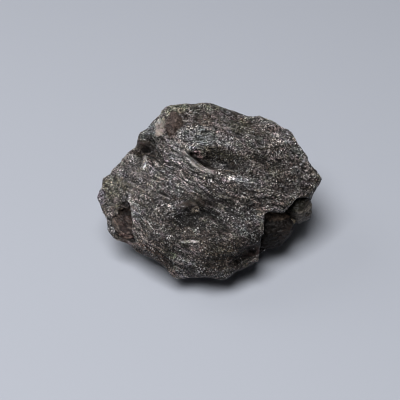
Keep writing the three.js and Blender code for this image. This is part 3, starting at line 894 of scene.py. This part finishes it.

# %% [markdown]
# ## Tones
#
# Wide parts of the stone are painted lighter or darker to stand in for how the light falls: painted shade
# on the steep low front, the right face and the hollows, painted light on the lit slopes and crests. A
# tone multiplies what is painted already. A dark tone is a little warmer and a light one a little
# cooler, and a strong one takes away some of the glitter.

# %% Tones of painted light and shade
# every tone below is painted light where it lightens and painted shade where it darkens
PAINTED_LIGHT_AND_SHADE = {
    # name: (across, up), (half length, half width), turn in degrees, what the colour is multiplied by
    "lit left end": ((-21.5, 2.5), (9.0, 8.5), 0, 1.34),
    "lit slope": ((-8.0, 1.5), (11.0, 5.5), -25, 1.22),
    "dark low front": ((1.0, -18.0), (15.0, 6.0), 0, 0.54),
    "dark right": ((14.0, 4.0), (8.5, 6.5), -20, 0.84),
    "dark right face": ((10.0, -10.5), (5.0, 6.0), 0, 0.62),
    "dark low left": ((-12.5, -17.0), (7.0, 5.0), -30, 0.70),
    "dark middle": ((-3.0, -8.0), (9.5, 4.4), 0, 0.60),
    "dark below the cup": ((-16.6, 10.1), (4.2, 1.9), -18, 0.40),
    "dark band on the right": ((19.6, 3.5), (9.4, 1.8), -37, 0.54),
    "dark olive step": ((-0.8, -2.0), (7.4, 1.5), 0, 0.54),
    "dark left of the scoop": ((-13.8, -2.6), (1.8, 2.4), 0, 0.68),
    "dark under the band": ((-11.3, -11.3), (3.4, 1.7), -30, 0.68),
    "lit end of the hollow": ((-3.0, 10.0), (2.5, 1.5), -15, 3.8),
    "lit brow of the hollow": ((1.4, 10.9), (3.0, 0.7), -8, 1.5),
    "pale slope left of the lip": ((-10.0, 8.0), (2.4, 6.4), 0, 1.80),
    "pale slope below the lip": ((-3.9, 1.2), (3.0, 2.0), -30, 2.0),
    "pale upper right edge": ((18.6, 16.2), (5.0, 2.2), -40, 1.95),
    "pale crest on the left": ((-10.2, 22.3), (4.4, 1.6), 10, 2.1),
    "pale crest in the middle": ((0.6, 22.1), (3.8, 1.3), -5, 1.42),
    "pale below the crest": ((0.0, 17.8), (2.6, 1.5), 0, 2.05),
    "pale right of the socket": ((-20.0, -4.9), (4.4, 1.8), -60, 2.4),
    "pale left of the scoop": ((-8.8, -4.9), (2.6, 1.7), 30, 2.9),
    "pale low front": ((-6.0, -17.2), (3.2, 3.0), 0, 2.3),
    "pale foot": ((-9.2, -23.2), (3.4, 2.6), -10, 4.0),
    "pale by the white flakes": ((8.4, 2.6), (2.2, 1.0), -10, 1.75),
    "pale corner by the crystal": ((13.4, -7.4), (2.0, 1.7), 0, 2.4),
    "pale step": ((8.0, -10.8), (2.6, 1.6), 10, 2.6),
    "dark edge by the crystal": ((12.1, -12.4), (1.8, 2.0), 0, 0.22),
    "dark crest": ((-6.2, 21.0), (1.6, 1.1), 0, 0.55),
    "dark over the corner": ((14.0, -4.4), (1.8, 0.9), -20, 0.65),
    "dark in the scoop": ((1.0, -8.0), (2.4, 1.5), 0, 0.70),
    "dark left in the scoop": ((-6.0, -9.6), (2.8, 1.6), 0, 0.80),
    "dark end of the lip": ((2.0, -4.2), (1.7, 1.0), 0, 0.72),
    "pale end of the lip": ((5.3, -3.7), (1.5, 0.9), 0, 1.4),
    "dark low middle": ((3.0, -20.0), (5.5, 1.5), 8, 0.80),
    "pale end of the shelf": ((-22.4, -2.4), (1.6, 1.4), 0, 1.5),
    "dark over the ledge": ((8.1, -19.4), (3.6, 1.3), 22, 0.62),
    "pale low left": ((-17.4, -13.0), (2.6, 1.8), -20, 1.8),
    "pale right edge": ((25.6, 7.6), (2.2, 4.2), 0, 1.6),
}
print(len(PAINTED_LIGHT_AND_SHADE), "tones")

# %% [markdown]
# ## Painting the block
#
# The bare schist comes first: its colour drifts slowly from warm to cool, is banded along the layers,
# and is broken by thin dark seams. Stains and strokes are laid over it, some of them painted light,
# shade, shadow and highlight, then the tones of painted light and shade, and the socket walls come last,
# one in painted light and one in painted shade. How much each place glitters is painted along with its
# colour, and so is how calm it is, because a smooth surface shows hardly any grains.

# %% Paint the block
SCHIST_COLOUR = np.array([0.141, 0.123, 0.1155])
SEAM_COLOUR = np.array([0.046, 0.036, 0.029])
WARM_DRIFT = np.array([0.16, 0.10, 0.03])  # how far red, green and blue drift
TONE_WARMTH = np.array([1.0, 1.07, 1.13])
BAND_LENGTHS = np.array([4.0, 1.0, 4.0])  # how far bands and seams are drawn out along the layers
SEAM_LENGTHS = np.array([6.0, 1.0, 6.0])
SMOOTH_BELOW = 0.25  # a stain that glitters less than this is a smooth surface
TONE_GLITTER_LOSS = 0.5
WALL_GLITTER_LOSS = 0.8
MEAN_GLITTER = 0.78
GLITTER_RANGE = (0.05, 2.4)
STROKE_REACH = 1.25  # a stroke ends at this many times its half width
STROKE_SOFTNESS = 0.5


def bare_schist(places, drawn):
    """The colour and the glitter of the rock before anything is laid on it."""
    warmth = ragged(places, size=7.0, shift=11.0)[:, None]
    colour = SCHIST_COLOUR * (1 + warmth * WARM_DRIFT)
    banded = drawn / BAND_LENGTHS
    wide_bands = 0.40 * ragged(banded, size=2.0, shift=17.0)
    fine_bands = 0.45 * ragged(banded, size=0.75, shift=23.0)
    colour *= (1 + wide_bands + fine_bands)[:, None]
    fine_glitter = 1.3 * ragged(banded, size=1.3, shift=5.0)
    wide_glitter = 0.6 * ragged(places, size=6.0, shift=9.0)
    glitter = MEAN_GLITTER * np.exp(fine_glitter + wide_glitter)
    seams = np.clip(3.2 * ragged(drawn / SEAM_LENGTHS, size=0.9, shift=31.0) - 0.45, 0, 0.85)
    colour += (SEAM_COLOUR - colour) * seams[:, None]
    return colour, glitter * (1 - seams)


def stroke(places, line, width, wobble):
    """1 along a line of the face and 0 beside it, thinning out at its ends."""
    above, ends = beside_line(places, line)
    core = np.clip((STROKE_REACH - np.abs(above + wobble) / width) / STROKE_SOFTNESS, 0, 1)
    return core * np.clip(2 * ends - 0.3, 0, 1)


def paint(mesh):
    places = face_places(points_of(mesh))
    edge = ragged(places, size=1.6, shift=3.0)
    wobble = 0.15 * ragged(places, size=1.2, shift=6.0)
    front = facing_out(mesh, margin=0.3)
    colour, glitter = bare_schist(places, read_vectors(mesh.attributes["strata"].data, "vector"))
    calm = np.zeros(len(places))
    painted = [(patch(places, at, radii, turn, edge), *rest) for at, radii, turn, *rest in STAINS_LIGHT_AND_SHADE.values()]
    painted += [(stroke(places, line, width, wobble), *rest) for line, width, *rest in STROKES.values()]
    # stains and strokes, the marked ones painted light, shade, shadow and highlight
    for share, stain, strength, sparkle in painted:
        share = share * strength * front
        colour += (np.array(stain) - colour) * share[:, None]
        glitter += (sparkle - glitter) * share
        calm = np.maximum(calm, share * (sparkle < SMOOTH_BELOW))
    # tones: painted light and shade over wide parts
    for at, radii, turn, factor in PAINTED_LIGHT_AND_SHADE.values():
        share = patch(places, at, radii, turn, edge) * front
        colour *= (1 + (factor - 1) * share)[:, None] ** TONE_WARMTH
        glitter *= 1 - min(abs(factor - 1), TONE_GLITTER_LOSS) * share
    # the walls: painted light under the shelf, painted shade in the left socket
    for at, radii, turn, stain, strength, highest in WALL_LIGHT_AND_SHADE.values():
        share = patch(places, at, radii, turn, edge) * strength * (1 - front * (places[:, 2] > highest))
        colour += (np.array(stain) - colour) * share[:, None]
        glitter *= 1 - WALL_GLITTER_LOSS * share
    write_colours(mesh, "ground", colour)
    write_numbers(mesh, "glitter", np.clip(glitter, *GLITTER_RANGE))
    write_numbers(mesh, "calm", calm)
    return colour


ground = paint(block.data)
print("painted, on the whole", [round(float(c), 3) for c in ground.mean(axis=0)])

# %% [markdown]
# ## Grains in a material
#
# Close to, schist is a felt of mica scales and quartz grains under half a millimetre wide, dark ones and
# pale ones side by side, each tilted its own way. A Voronoi texture gives cells of that size. Each gets
# a tilt from a height that rises at random across the cell, which the Bump node turns into a slope.

# %% Helpers for the looks
def new_look(name):
    look = bpy.data.materials.new(name)
    look.use_nodes = True
    tree = look.node_tree
    return look, tree, tree.nodes["Principled BSDF"]


def named(tree, name, output="Fac"):
    """What was written on the mesh under a name, for a look."""
    return put(tree, "ShaderNodeAttribute", attribute_name=name).outputs[output]


def millimetres(tree):
    """The place on the piece, in millimetres."""
    return scaled(tree, put(tree, "ShaderNodeTexCoord").outputs["Object"], 1 / MM)


def grains_of(tree, where, size):
    """Packed grains: a random colour for each, how far a place is from the middle, and a tilt."""
    place = calc_vector(tree, "DIVIDE", where, size)
    cell = put(tree, "ShaderNodeTexVoronoi", {"Vector": place, "Scale": 1.0}).outputs
    from_middle = calc_vector(tree, "SUBTRACT", place, cell["Position"])
    lean = calc_vector(tree, "SUBTRACT", cell["Color"], (0.5, 0.5, 0.5))
    return cell["Color"], cell["Distance"], dot(tree, from_middle, lean)


def raise_by(tree, finish, height):
    """Shows a height, in metres, as light and shade on the surface."""
    bump = put(tree, "ShaderNodeBump", {"Height": height, "Strength": 1.0, "Distance": 1.0}).outputs[0]
    tree.links.new(bump, finish.inputs["Normal"])


print("helpers for the looks ready")

# %% [markdown]
# ## Cracks and creases
#
# Dark lines of painted shade run between the layers where they have come apart, and creases and hollows
# get painted shade too, darker the deeper they lie, while places that stand out are painted a little
# lighter. Neither has a colour of its own, so they only say how light a place is. The cracks are a
# pattern that repeats across the layers, bent by noise and opened only here and there, so that no line
# runs right over the stone.

# %% Painted shade in the schist
CRACK_SPACING = 1.25  # millimetres
CRACK_BEND = 1.2
OPEN_LENGTHS = (6.0, 1.1, 5.0)  # how long, thick and deep the opened stretches are, in millimetres


def open_cracks(tree, strata, plainly):
    """1 in a crack and 0 beside it."""
    bend = calc(tree, "MULTIPLY", clouds(tree, strata, 0.35), CRACK_BEND)
    turn = calc(tree, "ADD", calc(tree, "DIVIDE", apart(tree, strata)[1], CRACK_SPACING), bend)
    away = calc(tree, "ABSOLUTE", centred(tree, calc(tree, "FRACT", turn)))
    opened = clouds(tree, calc_vector(tree, "DIVIDE", strata, OPEN_LENGTHS), 1.0)
    opened = calc(tree, "MULTIPLY", spread(tree, opened, 0.42, 0.54), plainly)
    return calc(tree, "MULTIPLY", opened, spread(tree, away, 0.07, 0.20, 1.0, 0.0))


def crack_and_crease_shade(tree, strata, plainly):
    """Painted shade in cracks, creases and hollows, above 1 where a place stands out as painted light."""
    # painted shade, deeper in creases and hollows
    crease_shade = spread(tree, named(tree, "crease"), -0.06, 0.12, 1.2, 0.45)
    depth = spread(tree, named(tree, "hollow"), -0.6, 1.3, 1.2, 0.50)
    crack = spread(tree, open_cracks(tree, strata, plainly), 0.0, 1.0, 1.0, 0.25)
    return calc(tree, "MULTIPLY", crease_shade, depth, crack)


print("a crack every", CRACK_SPACING, "mm, where they are open")

# %% [markdown]
# ## What the schist looks like
#
# Two sizes of grains are laid over the painted ground. The small ones are of all shades, from nearly
# black to three times the ground's colour, and a few are pale mica, painted brighter still as a stand-in
# for their glints. The large ones carry a slight tint. Streaks along the layers show where the rock is
# laminated, and calm places keep most of their plain paint.

# %% The schist material
SMALL_GRAIN = (0.29, 0.29, 0.29)  # millimetres
LARGE_GRAIN = (1.3, 0.8, 1.2)  # across, through the layers and out
STREAK = (3.6, 0.42, 3.0)
DARKEST_GRAIN = 0.10
LIGHTEST_GRAIN = 3.1
TINT_SPAN = (0.16, 0.12, 0.16)
TINT_FROM = (0.92, 0.94, 0.92)
MICA_GLINT_COLOUR = (1.0, 0.985, 0.97)
CALM = 0.9  # how much of its plain paint a calm place keeps
SCHIST_SHINE = 0.25
SMOOTHEST = 0.28
ROUGHEST = 0.65
DOME_HEIGHT = 0.10 * MM
SMALL_TILT = 0.20 * MM
LARGE_TILT = 0.30 * MM


def grain_shade(tree, own, small_edge, lump, strata, plainly):
    """How light each grain is: its own shade, painted shade at its rim, its lump's and the streak's."""
    own_shade = calc(tree, "POWER", own[0], 2.4)
    own_shade = spread(tree, own_shade, 0.0, 1.0, DARKEST_GRAIN, LIGHTEST_GRAIN, smooth=False)
    # painted shade where the grains meet
    grain_rim_shade = spread(tree, small_edge, 0.25, 0.60, 1.1, 0.55)
    lump_shade = spread(tree, lump[1], 0.0, 1.0, 0.85, 1.15, smooth=False)
    streak = clouds(tree, calc_vector(tree, "DIVIDE", strata, STREAK), 1.0)
    streak = spread(tree, streak, 0.34, 0.66, -0.62, 0.62, smooth=False)
    streak = calc(tree, "ADD", calc(tree, "MULTIPLY", streak, plainly), 1.0)
    lumpy = calc(tree, "MULTIPLY", lump_shade, streak)
    grainy = calc(tree, "MULTIPLY", calc(tree, "MULTIPLY", own_shade, grain_rim_shade), lumpy)
    calm = calc(tree, "MULTIPLY", named(tree, "calm"), CALM)
    return calc(tree, "ADD", calc(tree, "MULTIPLY", grainy, calc(tree, "SUBTRACT", 1.0, calm)), calm)


def schist_look():
    look, tree, finish = new_look("schist")
    strata = named(tree, "strata", "Vector")
    plainly = named(tree, "laminated")
    small, small_edge, small_tilt = grains_of(tree, millimetres(tree), SMALL_GRAIN)
    large, _, large_tilt = grains_of(tree, strata, LARGE_GRAIN)
    own = apart(tree, small)

    # the ground's colour with each grain's tint and shade and the painted shade of cracks and creases, and
    # the palest grains over it as painted glints of mica
    tint = calc_vector(tree, "MULTIPLY_ADD", large, TINT_SPAN, TINT_FROM)
    tinted = calc_vector(tree, "MULTIPLY", named(tree, "ground", "Color"), tint)
    grainy = grain_shade(tree, own, small_edge, apart(tree, large), strata, plainly)
    amount = crack_and_crease_shade(tree, strata, plainly)
    coloured = scaled(tree, tinted, calc(tree, "MULTIPLY", grainy, amount))
    # painted glints: the palest grains are pale mica, painted brighter than their own colour where it
    # glitters
    pale_mica_glint = spread(tree, own[1], 0.88, 1.0, 0.0, 0.68, smooth=False)
    white = scaled(tree, MICA_GLINT_COLOUR, calc(tree, "MULTIPLY", pale_mica_glint, named(tree, "glitter"), amount))
    tree.links.new(calc_vector(tree, "ADD", coloured, white), finish.inputs["Base Color"])

    finish.inputs["Specular IOR Level"].default_value = SCHIST_SHINE
    roughness = spread(tree, own[2], 0.0, 1.0, SMOOTHEST, ROUGHEST, smooth=False)
    tree.links.new(roughness, finish.inputs["Roughness"])
    domes = calc(tree, "MULTIPLY", calc(tree, "SUBTRACT", 1.0, small_edge), DOME_HEIGHT)
    height = calc(tree, "ADD", domes, calc(tree, "MULTIPLY", small_tilt, SMALL_TILT))
    raise_by(tree, finish, calc(tree, "ADD", height, calc(tree, "MULTIPLY", large_tilt, LARGE_TILT)))
    return look


block.data.materials.append(schist_look())
shade_smooth(block.data)
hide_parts("schist_matrix")
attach(block, "root")
print("schist dressed, with grains", SMALL_GRAIN[0], "mm wide")

# %% [markdown]
# ## Loose mica
#
# The biggest mica scales stand clear of the felt. They are flat six-sided plates, some silvery and some
# dark, that lie roughly along the surface with one edge lifted. Geometry Nodes scatter them over the
# block, thicker where the stone glitters, turn each one its own way and sink it by half.

# %% The mica's tree
MICA = {
    "Plates per square mm": 1.2,
    "Smallest": 0.16,
    "Largest": 0.44,
    "Thickness": 0.06,
    "Lift": 0.55,
    "Seed": 7,
}
BARE_FOOT = 0.5 * MM  # no plates below this height
LONGEST = 1.7  # a plate's length over its width


def mica_tree(look):
    """Scatters plates over a piece, and leaves the piece itself out."""
    tree, given = shape_tree("loose mica", MICA)

    def chance(low, high, shift):
        seed = calc(tree, "ADD", given["Seed"], shift)
        inputs = {"Seed": seed, 2: low, 3: high}
        return put(tree, "FunctionNodeRandomValue", inputs, data_type="FLOAT").outputs[1]

    def turn(rotation, angles):
        by = put(tree, "FunctionNodeEulerToRotation", {0: angles}).outputs[0]
        inputs = {0: rotation, 1: by}
        return put(tree, "FunctionNodeRotateRotation", inputs, rotation_space="LOCAL").outputs[0]

    # where: everywhere but the foot, and more where it glitters
    height = apart(tree, put(tree, "GeometryNodeInputPosition").outputs[0])[2]
    above = calc(tree, "GREATER_THAN", height, BARE_FOOT)
    density = calc(tree, "MULTIPLY", attribute(tree, "glitter"), above, given["Plates per square mm"])
    density = calc(tree, "MULTIPLY", density, 1 / MM**2)
    inputs = {"Mesh": given["Geometry"], "Density": density, "Seed": given["Seed"]}
    scatter = put(tree, "GeometryNodeDistributePointsOnFaces", inputs).outputs

    # one plate, a millimetre across before it is scaled
    inputs = {"Vertices": 6, "Radius": 0.5 * MM, "Depth": 1.0 * MM}
    plate = put(tree, "GeometryNodeMeshCylinder", inputs).outputs["Mesh"]

    # which way: along the surface, spun at random, with one edge lifted
    spin = put(tree, "ShaderNodeCombineXYZ", {2: chance(0.0, 2 * math.pi, 1)}).outputs[0]
    lifts = {axis: calc(tree, "MULTIPLY", chance(-1.0, 1.0, 2 + axis), given["Lift"]) for axis in (0, 1)}
    tip = put(tree, "ShaderNodeCombineXYZ", lifts).outputs[0]
    turned = turn(turn(scatter["Rotation"], spin), tip)

    # how large: many small ones and a few large ones, longer than wide
    span = calc(tree, "SUBTRACT", given["Largest"], given["Smallest"])
    mostly_small = calc(tree, "POWER", chance(0.0, 1.0, 4), 2.5)
    wide = calc(tree, "ADD", given["Smallest"], calc(tree, "MULTIPLY", span, mostly_small))
    long = calc(tree, "MULTIPLY", wide, chance(1.0, LONGEST, 5))
    size = put(tree, "ShaderNodeCombineXYZ", {0: long, 1: wide, 2: given["Thickness"]}).outputs[0]
    inputs = {"Points": scatter["Points"], "Instance": plate, "Rotation": turned, "Scale": size}
    plates = put(tree, "GeometryNodeInstanceOnPoints", inputs).outputs[0]

    # how silvery, then made real
    inputs = {"Geometry": plates, "Name": "silver", "Value": chance(0.0, 1.0, 6)}
    settings = {"data_type": "FLOAT", "domain": "INSTANCE"}
    plates = put(tree, "GeometryNodeStoreNamedAttribute", inputs, **settings).outputs[0]
    real = put(tree, "GeometryNodeRealizeInstances", {"Geometry": plates}).outputs[0]
    dressed = put(tree, "GeometryNodeSetMaterial", {"Geometry": real, "Material": look}).outputs[0]
    put(tree, "NodeGroupOutput", {"Geometry": dressed})
    return tree


print("up to", MICA["Largest"], "mm wide and", round(MICA["Largest"] * LONGEST, 2), "mm long")

# %% [markdown]
# ## Dark and silver mica
#
# Schist has two micas. Most of the plates are the dark one, and a few are bright silver. Each plate
# brings a random number with it, and raising that to a high power leaves only a few of them bright.

# %% Scatter the mica
MICA_COLOUR = (1.0, 0.98, 0.97)
MICA_ROUGHNESS = 0.28
DARKEST_PLATE = 0.03
BRIGHTEST_PLATE = 0.60


def mica_look():
    look, tree, finish = new_look("mica")
    bright = calc(tree, "POWER", named(tree, "silver"), 6.0)
    amount = spread(tree, bright, 0.0, 1.0, DARKEST_PLATE, BRIGHTEST_PLATE, smooth=False)
    tree.links.new(scaled(tree, MICA_COLOUR, amount), finish.inputs["Base Color"])
    finish.inputs["Roughness"].default_value = MICA_ROUGHNESS
    return look


mica = new_object("mica_flakes", block.data.copy())
apply_tree(mica, mica_tree(mica_look()), MICA)
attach(mica, "root")
print("mica has", triangles_in(mica.data), "triangles")

# %% [markdown]
# ## The garnets
#
# Garnet grows as a twelve-sided crystal, and these have been rubbed until they are knobs. Each starts as
# an even mesh of its solid. It is grown by the width of the gap so that it sits in the rock, and further
# to the sides where the rock stands away from it. The relief's tree gives it swells and pits.

# %% Garnet shapes
GARNET_CELL = 0.15 * MM
GARNET_GROWTH = 0.24  # millimetres
GARNET_SWELL = 0.32
GARNET_RELIEF = {
    "Layer spacing": 3.0,
    "Layer height": 0.05,
    "Lens length": 3.6,
    "Lens height": 0.42,
    "Flake length": 1.4,
    "Flake height": 0.16,
    "Grain size": 0.8,
    "Grain height": 0.20,
    "Flat below": -5.0,
}
GARNETS = {
    # name: colour, colour of the crust, how much is crusted, how grainy it is, how much it shines, and
    # which ways it reaches into the rock beside it: across and up in millimetres
    # the front one is set darker still, partly its own dark colour and partly painted shade from the shelf
    # over it
    "garnet_right_front": (
        (0.0085, 0.0062, 0.0054), (0.013, 0.0105, 0.0092), 0.35, 0.35, 0.15, [(-1.5, -0.5), (0.0, 1.3)],
    ),
    "garnet_right_back": (
        (0.040, 0.034, 0.028), (0.090, 0.080, 0.070), 0.55, 0.7, 0.3, [(-0.8, 0.9)],
    ),
    "garnet_left": (
        (0.042, 0.029, 0.026), (0.125, 0.098, 0.082), 0.50, 1.2, 0.3, [(0.5, 0.0), (0.0, -0.5)],
    ),
    "garnet_upper_left": (
        (0.066, 0.045, 0.038), (0.115, 0.086, 0.074), 0.45, 1.4, 0.4, [],
    ),
}


def grow(mesh, reaches):
    """Fills the gap round a crystal, with a slow swell, and more towards the rock beside it."""
    points = points_of(mesh)
    normals = normals_of(mesh)
    out = GARNET_GROWTH + GARNET_SWELL * ragged(points, size=3.2, shift=1.0)
    for across, up in reaches:
        out += np.clip(normals @ np.array(across * ACROSS + up * UP), 0, None)
    move_points(mesh, points + normals * out[:, None])


print(len(GARNETS), "garnets")

# %% [markdown]
# ## Light and dark on the crystals
#
# The crystals carry painted light and shade. The right front one is painted lighter along its top,
# where the shelf over it casts shade, and on its right rim, where the light falls. The left one has
# painted shadow under the brow of its socket and down its right side, and pinkish streaks of its own
# at its foot. The right back one is darker at its upper left and lighter at its lower right. A second
# colour on the mesh, which multiplies the crystal's own, holds these patches.

# %% Shades of the crystals
CRYSTAL_LIGHT_SHADE_AND_STREAKS = {
    # middle (across, up), (half length, half width), turn in degrees, what the colour is multiplied by
    "garnet_right_front": [
        ((16.0, -12.6), (2.4, 1.6), 0, (0.9, 0.93, 0.9)),
        # painted light on the right rim, where the light falls
        ((20.2, -11.6), (1.2, 2.4), -30, (2.2, 2.2, 2.15)),
        ((14.6, -9.9), (1.8, 0.4), -35, (0.5, 0.45, 0.45)),
        # painted light along the top, where the shelf over it casts shade
        ((17.2, -6.7), (3.6, 1.3), -4, (6.2, 5.9, 5.2)),
    ],
    "garnet_right_back": [
        ((23.2, -3.9), (2.6, 1.9), 20, (0.30, 0.31, 0.26)),
        ((25.4, -6.6), (2.2, 1.4), 20, (1.3, 1.28, 1.25)),
    ],
    "garnet_left": [
        # painted shadow under the brow of the socket, and down its right side
        ((-22.8, -5.2), (2.8, 1.6), 0, (0.24, 0.22, 0.20)),
        ((-21.2, -7.2), (1.6, 2.2), 0, (0.42, 0.35, 0.34)),
        ((-22.2, -12.3), (2.3, 1.1), -8, (2.6, 2.4, 2.4)),
        ((-23.6, -8.6), (1.4, 0.5), -20, (1.3, 1.2, 1.15)),
    ],
    "garnet_upper_left": [
        ((-7.6, 17.8), (1.0, 2.6), -20, (1.35, 1.4, 1.4)),
    ],
}


def shade_crystal(mesh, shades):
    places = face_places(points_of(mesh))
    edge = ragged(places, size=1.4, shift=12.0)
    tone = np.ones((len(places), 3))
    for at, radii, turn, factor in shades:
        share = patch(places, at, radii, turn, edge)[:, None]
        tone *= 1 + (np.array(factor) - 1) * share
    write_colours(mesh, "tone", tone)


print(sum(len(shades) for shades in CRYSTAL_LIGHT_SHADE_AND_STREAKS.values()), "shaded places")

# %% [markdown]
# ## What a garnet looks like
#
# The stone itself is nearly black, and a brown crust of mica and rust covers part of it. Soft noise
# decides where the crust lies, and grains like the schist's make its border ragged and break up the
# colours, more on the rough crystals than on the smooth one. Its pits and creases get painted shade,
# and places that stand out are painted a little lighter.

# %% Garnet looks
GARNET_GRAIN = (0.30, 0.27, 0.30)  # millimetres
CRUST_PATCH = 1.6  # millimetres
CRUST_BORDER = 0.16
CRUST_REACH = 0.35
BORDER_GRAIN = 0.12
GARNET_SMOOTHEST = 0.35
GARNET_ROUGHEST = 0.60
GARNET_TILT = 0.16  # millimetres


def garnet_look(name, colour, crust, crusted, grainy, shine):
    look, tree, finish = new_look(name)
    place = millimetres(tree)
    small, _, small_tilt = grains_of(tree, place, GARNET_GRAIN)
    own = apart(tree, small)

    # where the crust lies
    middle = 0.5 + CRUST_REACH * (0.5 - crusted)
    cloud = clouds(tree, place, 1 / CRUST_PATCH, 5.0)
    cloud = calc(tree, "ADD", cloud, calc(tree, "MULTIPLY", own[2], BORDER_GRAIN))
    cover = spread(tree, cloud, middle, middle + CRUST_BORDER)

    def in_shades(shown, darker, lighter):
        """A colour in as many shades as there are grains."""
        amount = spread(tree, own[0], 0.0, 1.0, 1 - darker * grainy, 1 + lighter * grainy, smooth=False)
        return scaled(tree, shown, amount)

    # bare stone and crust, which is the more uneven one
    inputs = {"Factor": cover, 6: in_shades(colour, 0.3, 0.35), 7: in_shades(crust, 0.65, 0.6)}
    mixed = put(tree, "ShaderNodeMix", inputs, data_type="RGBA").outputs[2]
    toned = calc_vector(tree, "MULTIPLY", mixed, named(tree, "tone", "Color"))
    # painted shade in pits and creases, lighter where the surface stands out
    pit_shade = spread(tree, named(tree, "crease"), -0.05, 0.06, 1.25, 0.55)
    tree.links.new(scaled(tree, toned, pit_shade), finish.inputs["Base Color"])
    roughness = spread(tree, own[1], 0.0, 1.0, GARNET_SMOOTHEST, GARNET_ROUGHEST)
    tree.links.new(roughness, finish.inputs["Roughness"])
    finish.inputs["Specular IOR Level"].default_value = shine
    raise_by(tree, finish, calc(tree, "MULTIPLY", small_tilt, GARNET_TILT * grainy * MM))
    return look


for name, (colour, crust, crusted, grainy, shine, reaches) in GARNETS.items():
    crystal = joined_copy(name, name.replace("garnet", "crystal"))
    remesh(crystal, GARNET_CELL)
    grow(crystal.data, reaches)
    write_strata(crystal.data)
    apply_tree(crystal, relief, GARNET_RELIEF)
    shade_crystal(crystal.data, CRYSTAL_LIGHT_SHADE_AND_STREAKS[name])
    crystal.data.materials.append(garnet_look(name, colour, crust, crusted, grainy, shine))
    shade_smooth(crystal.data)
    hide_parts(name)
    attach(crystal, "root")
    print(name, "has", triangles_in(crystal.data), "triangles")
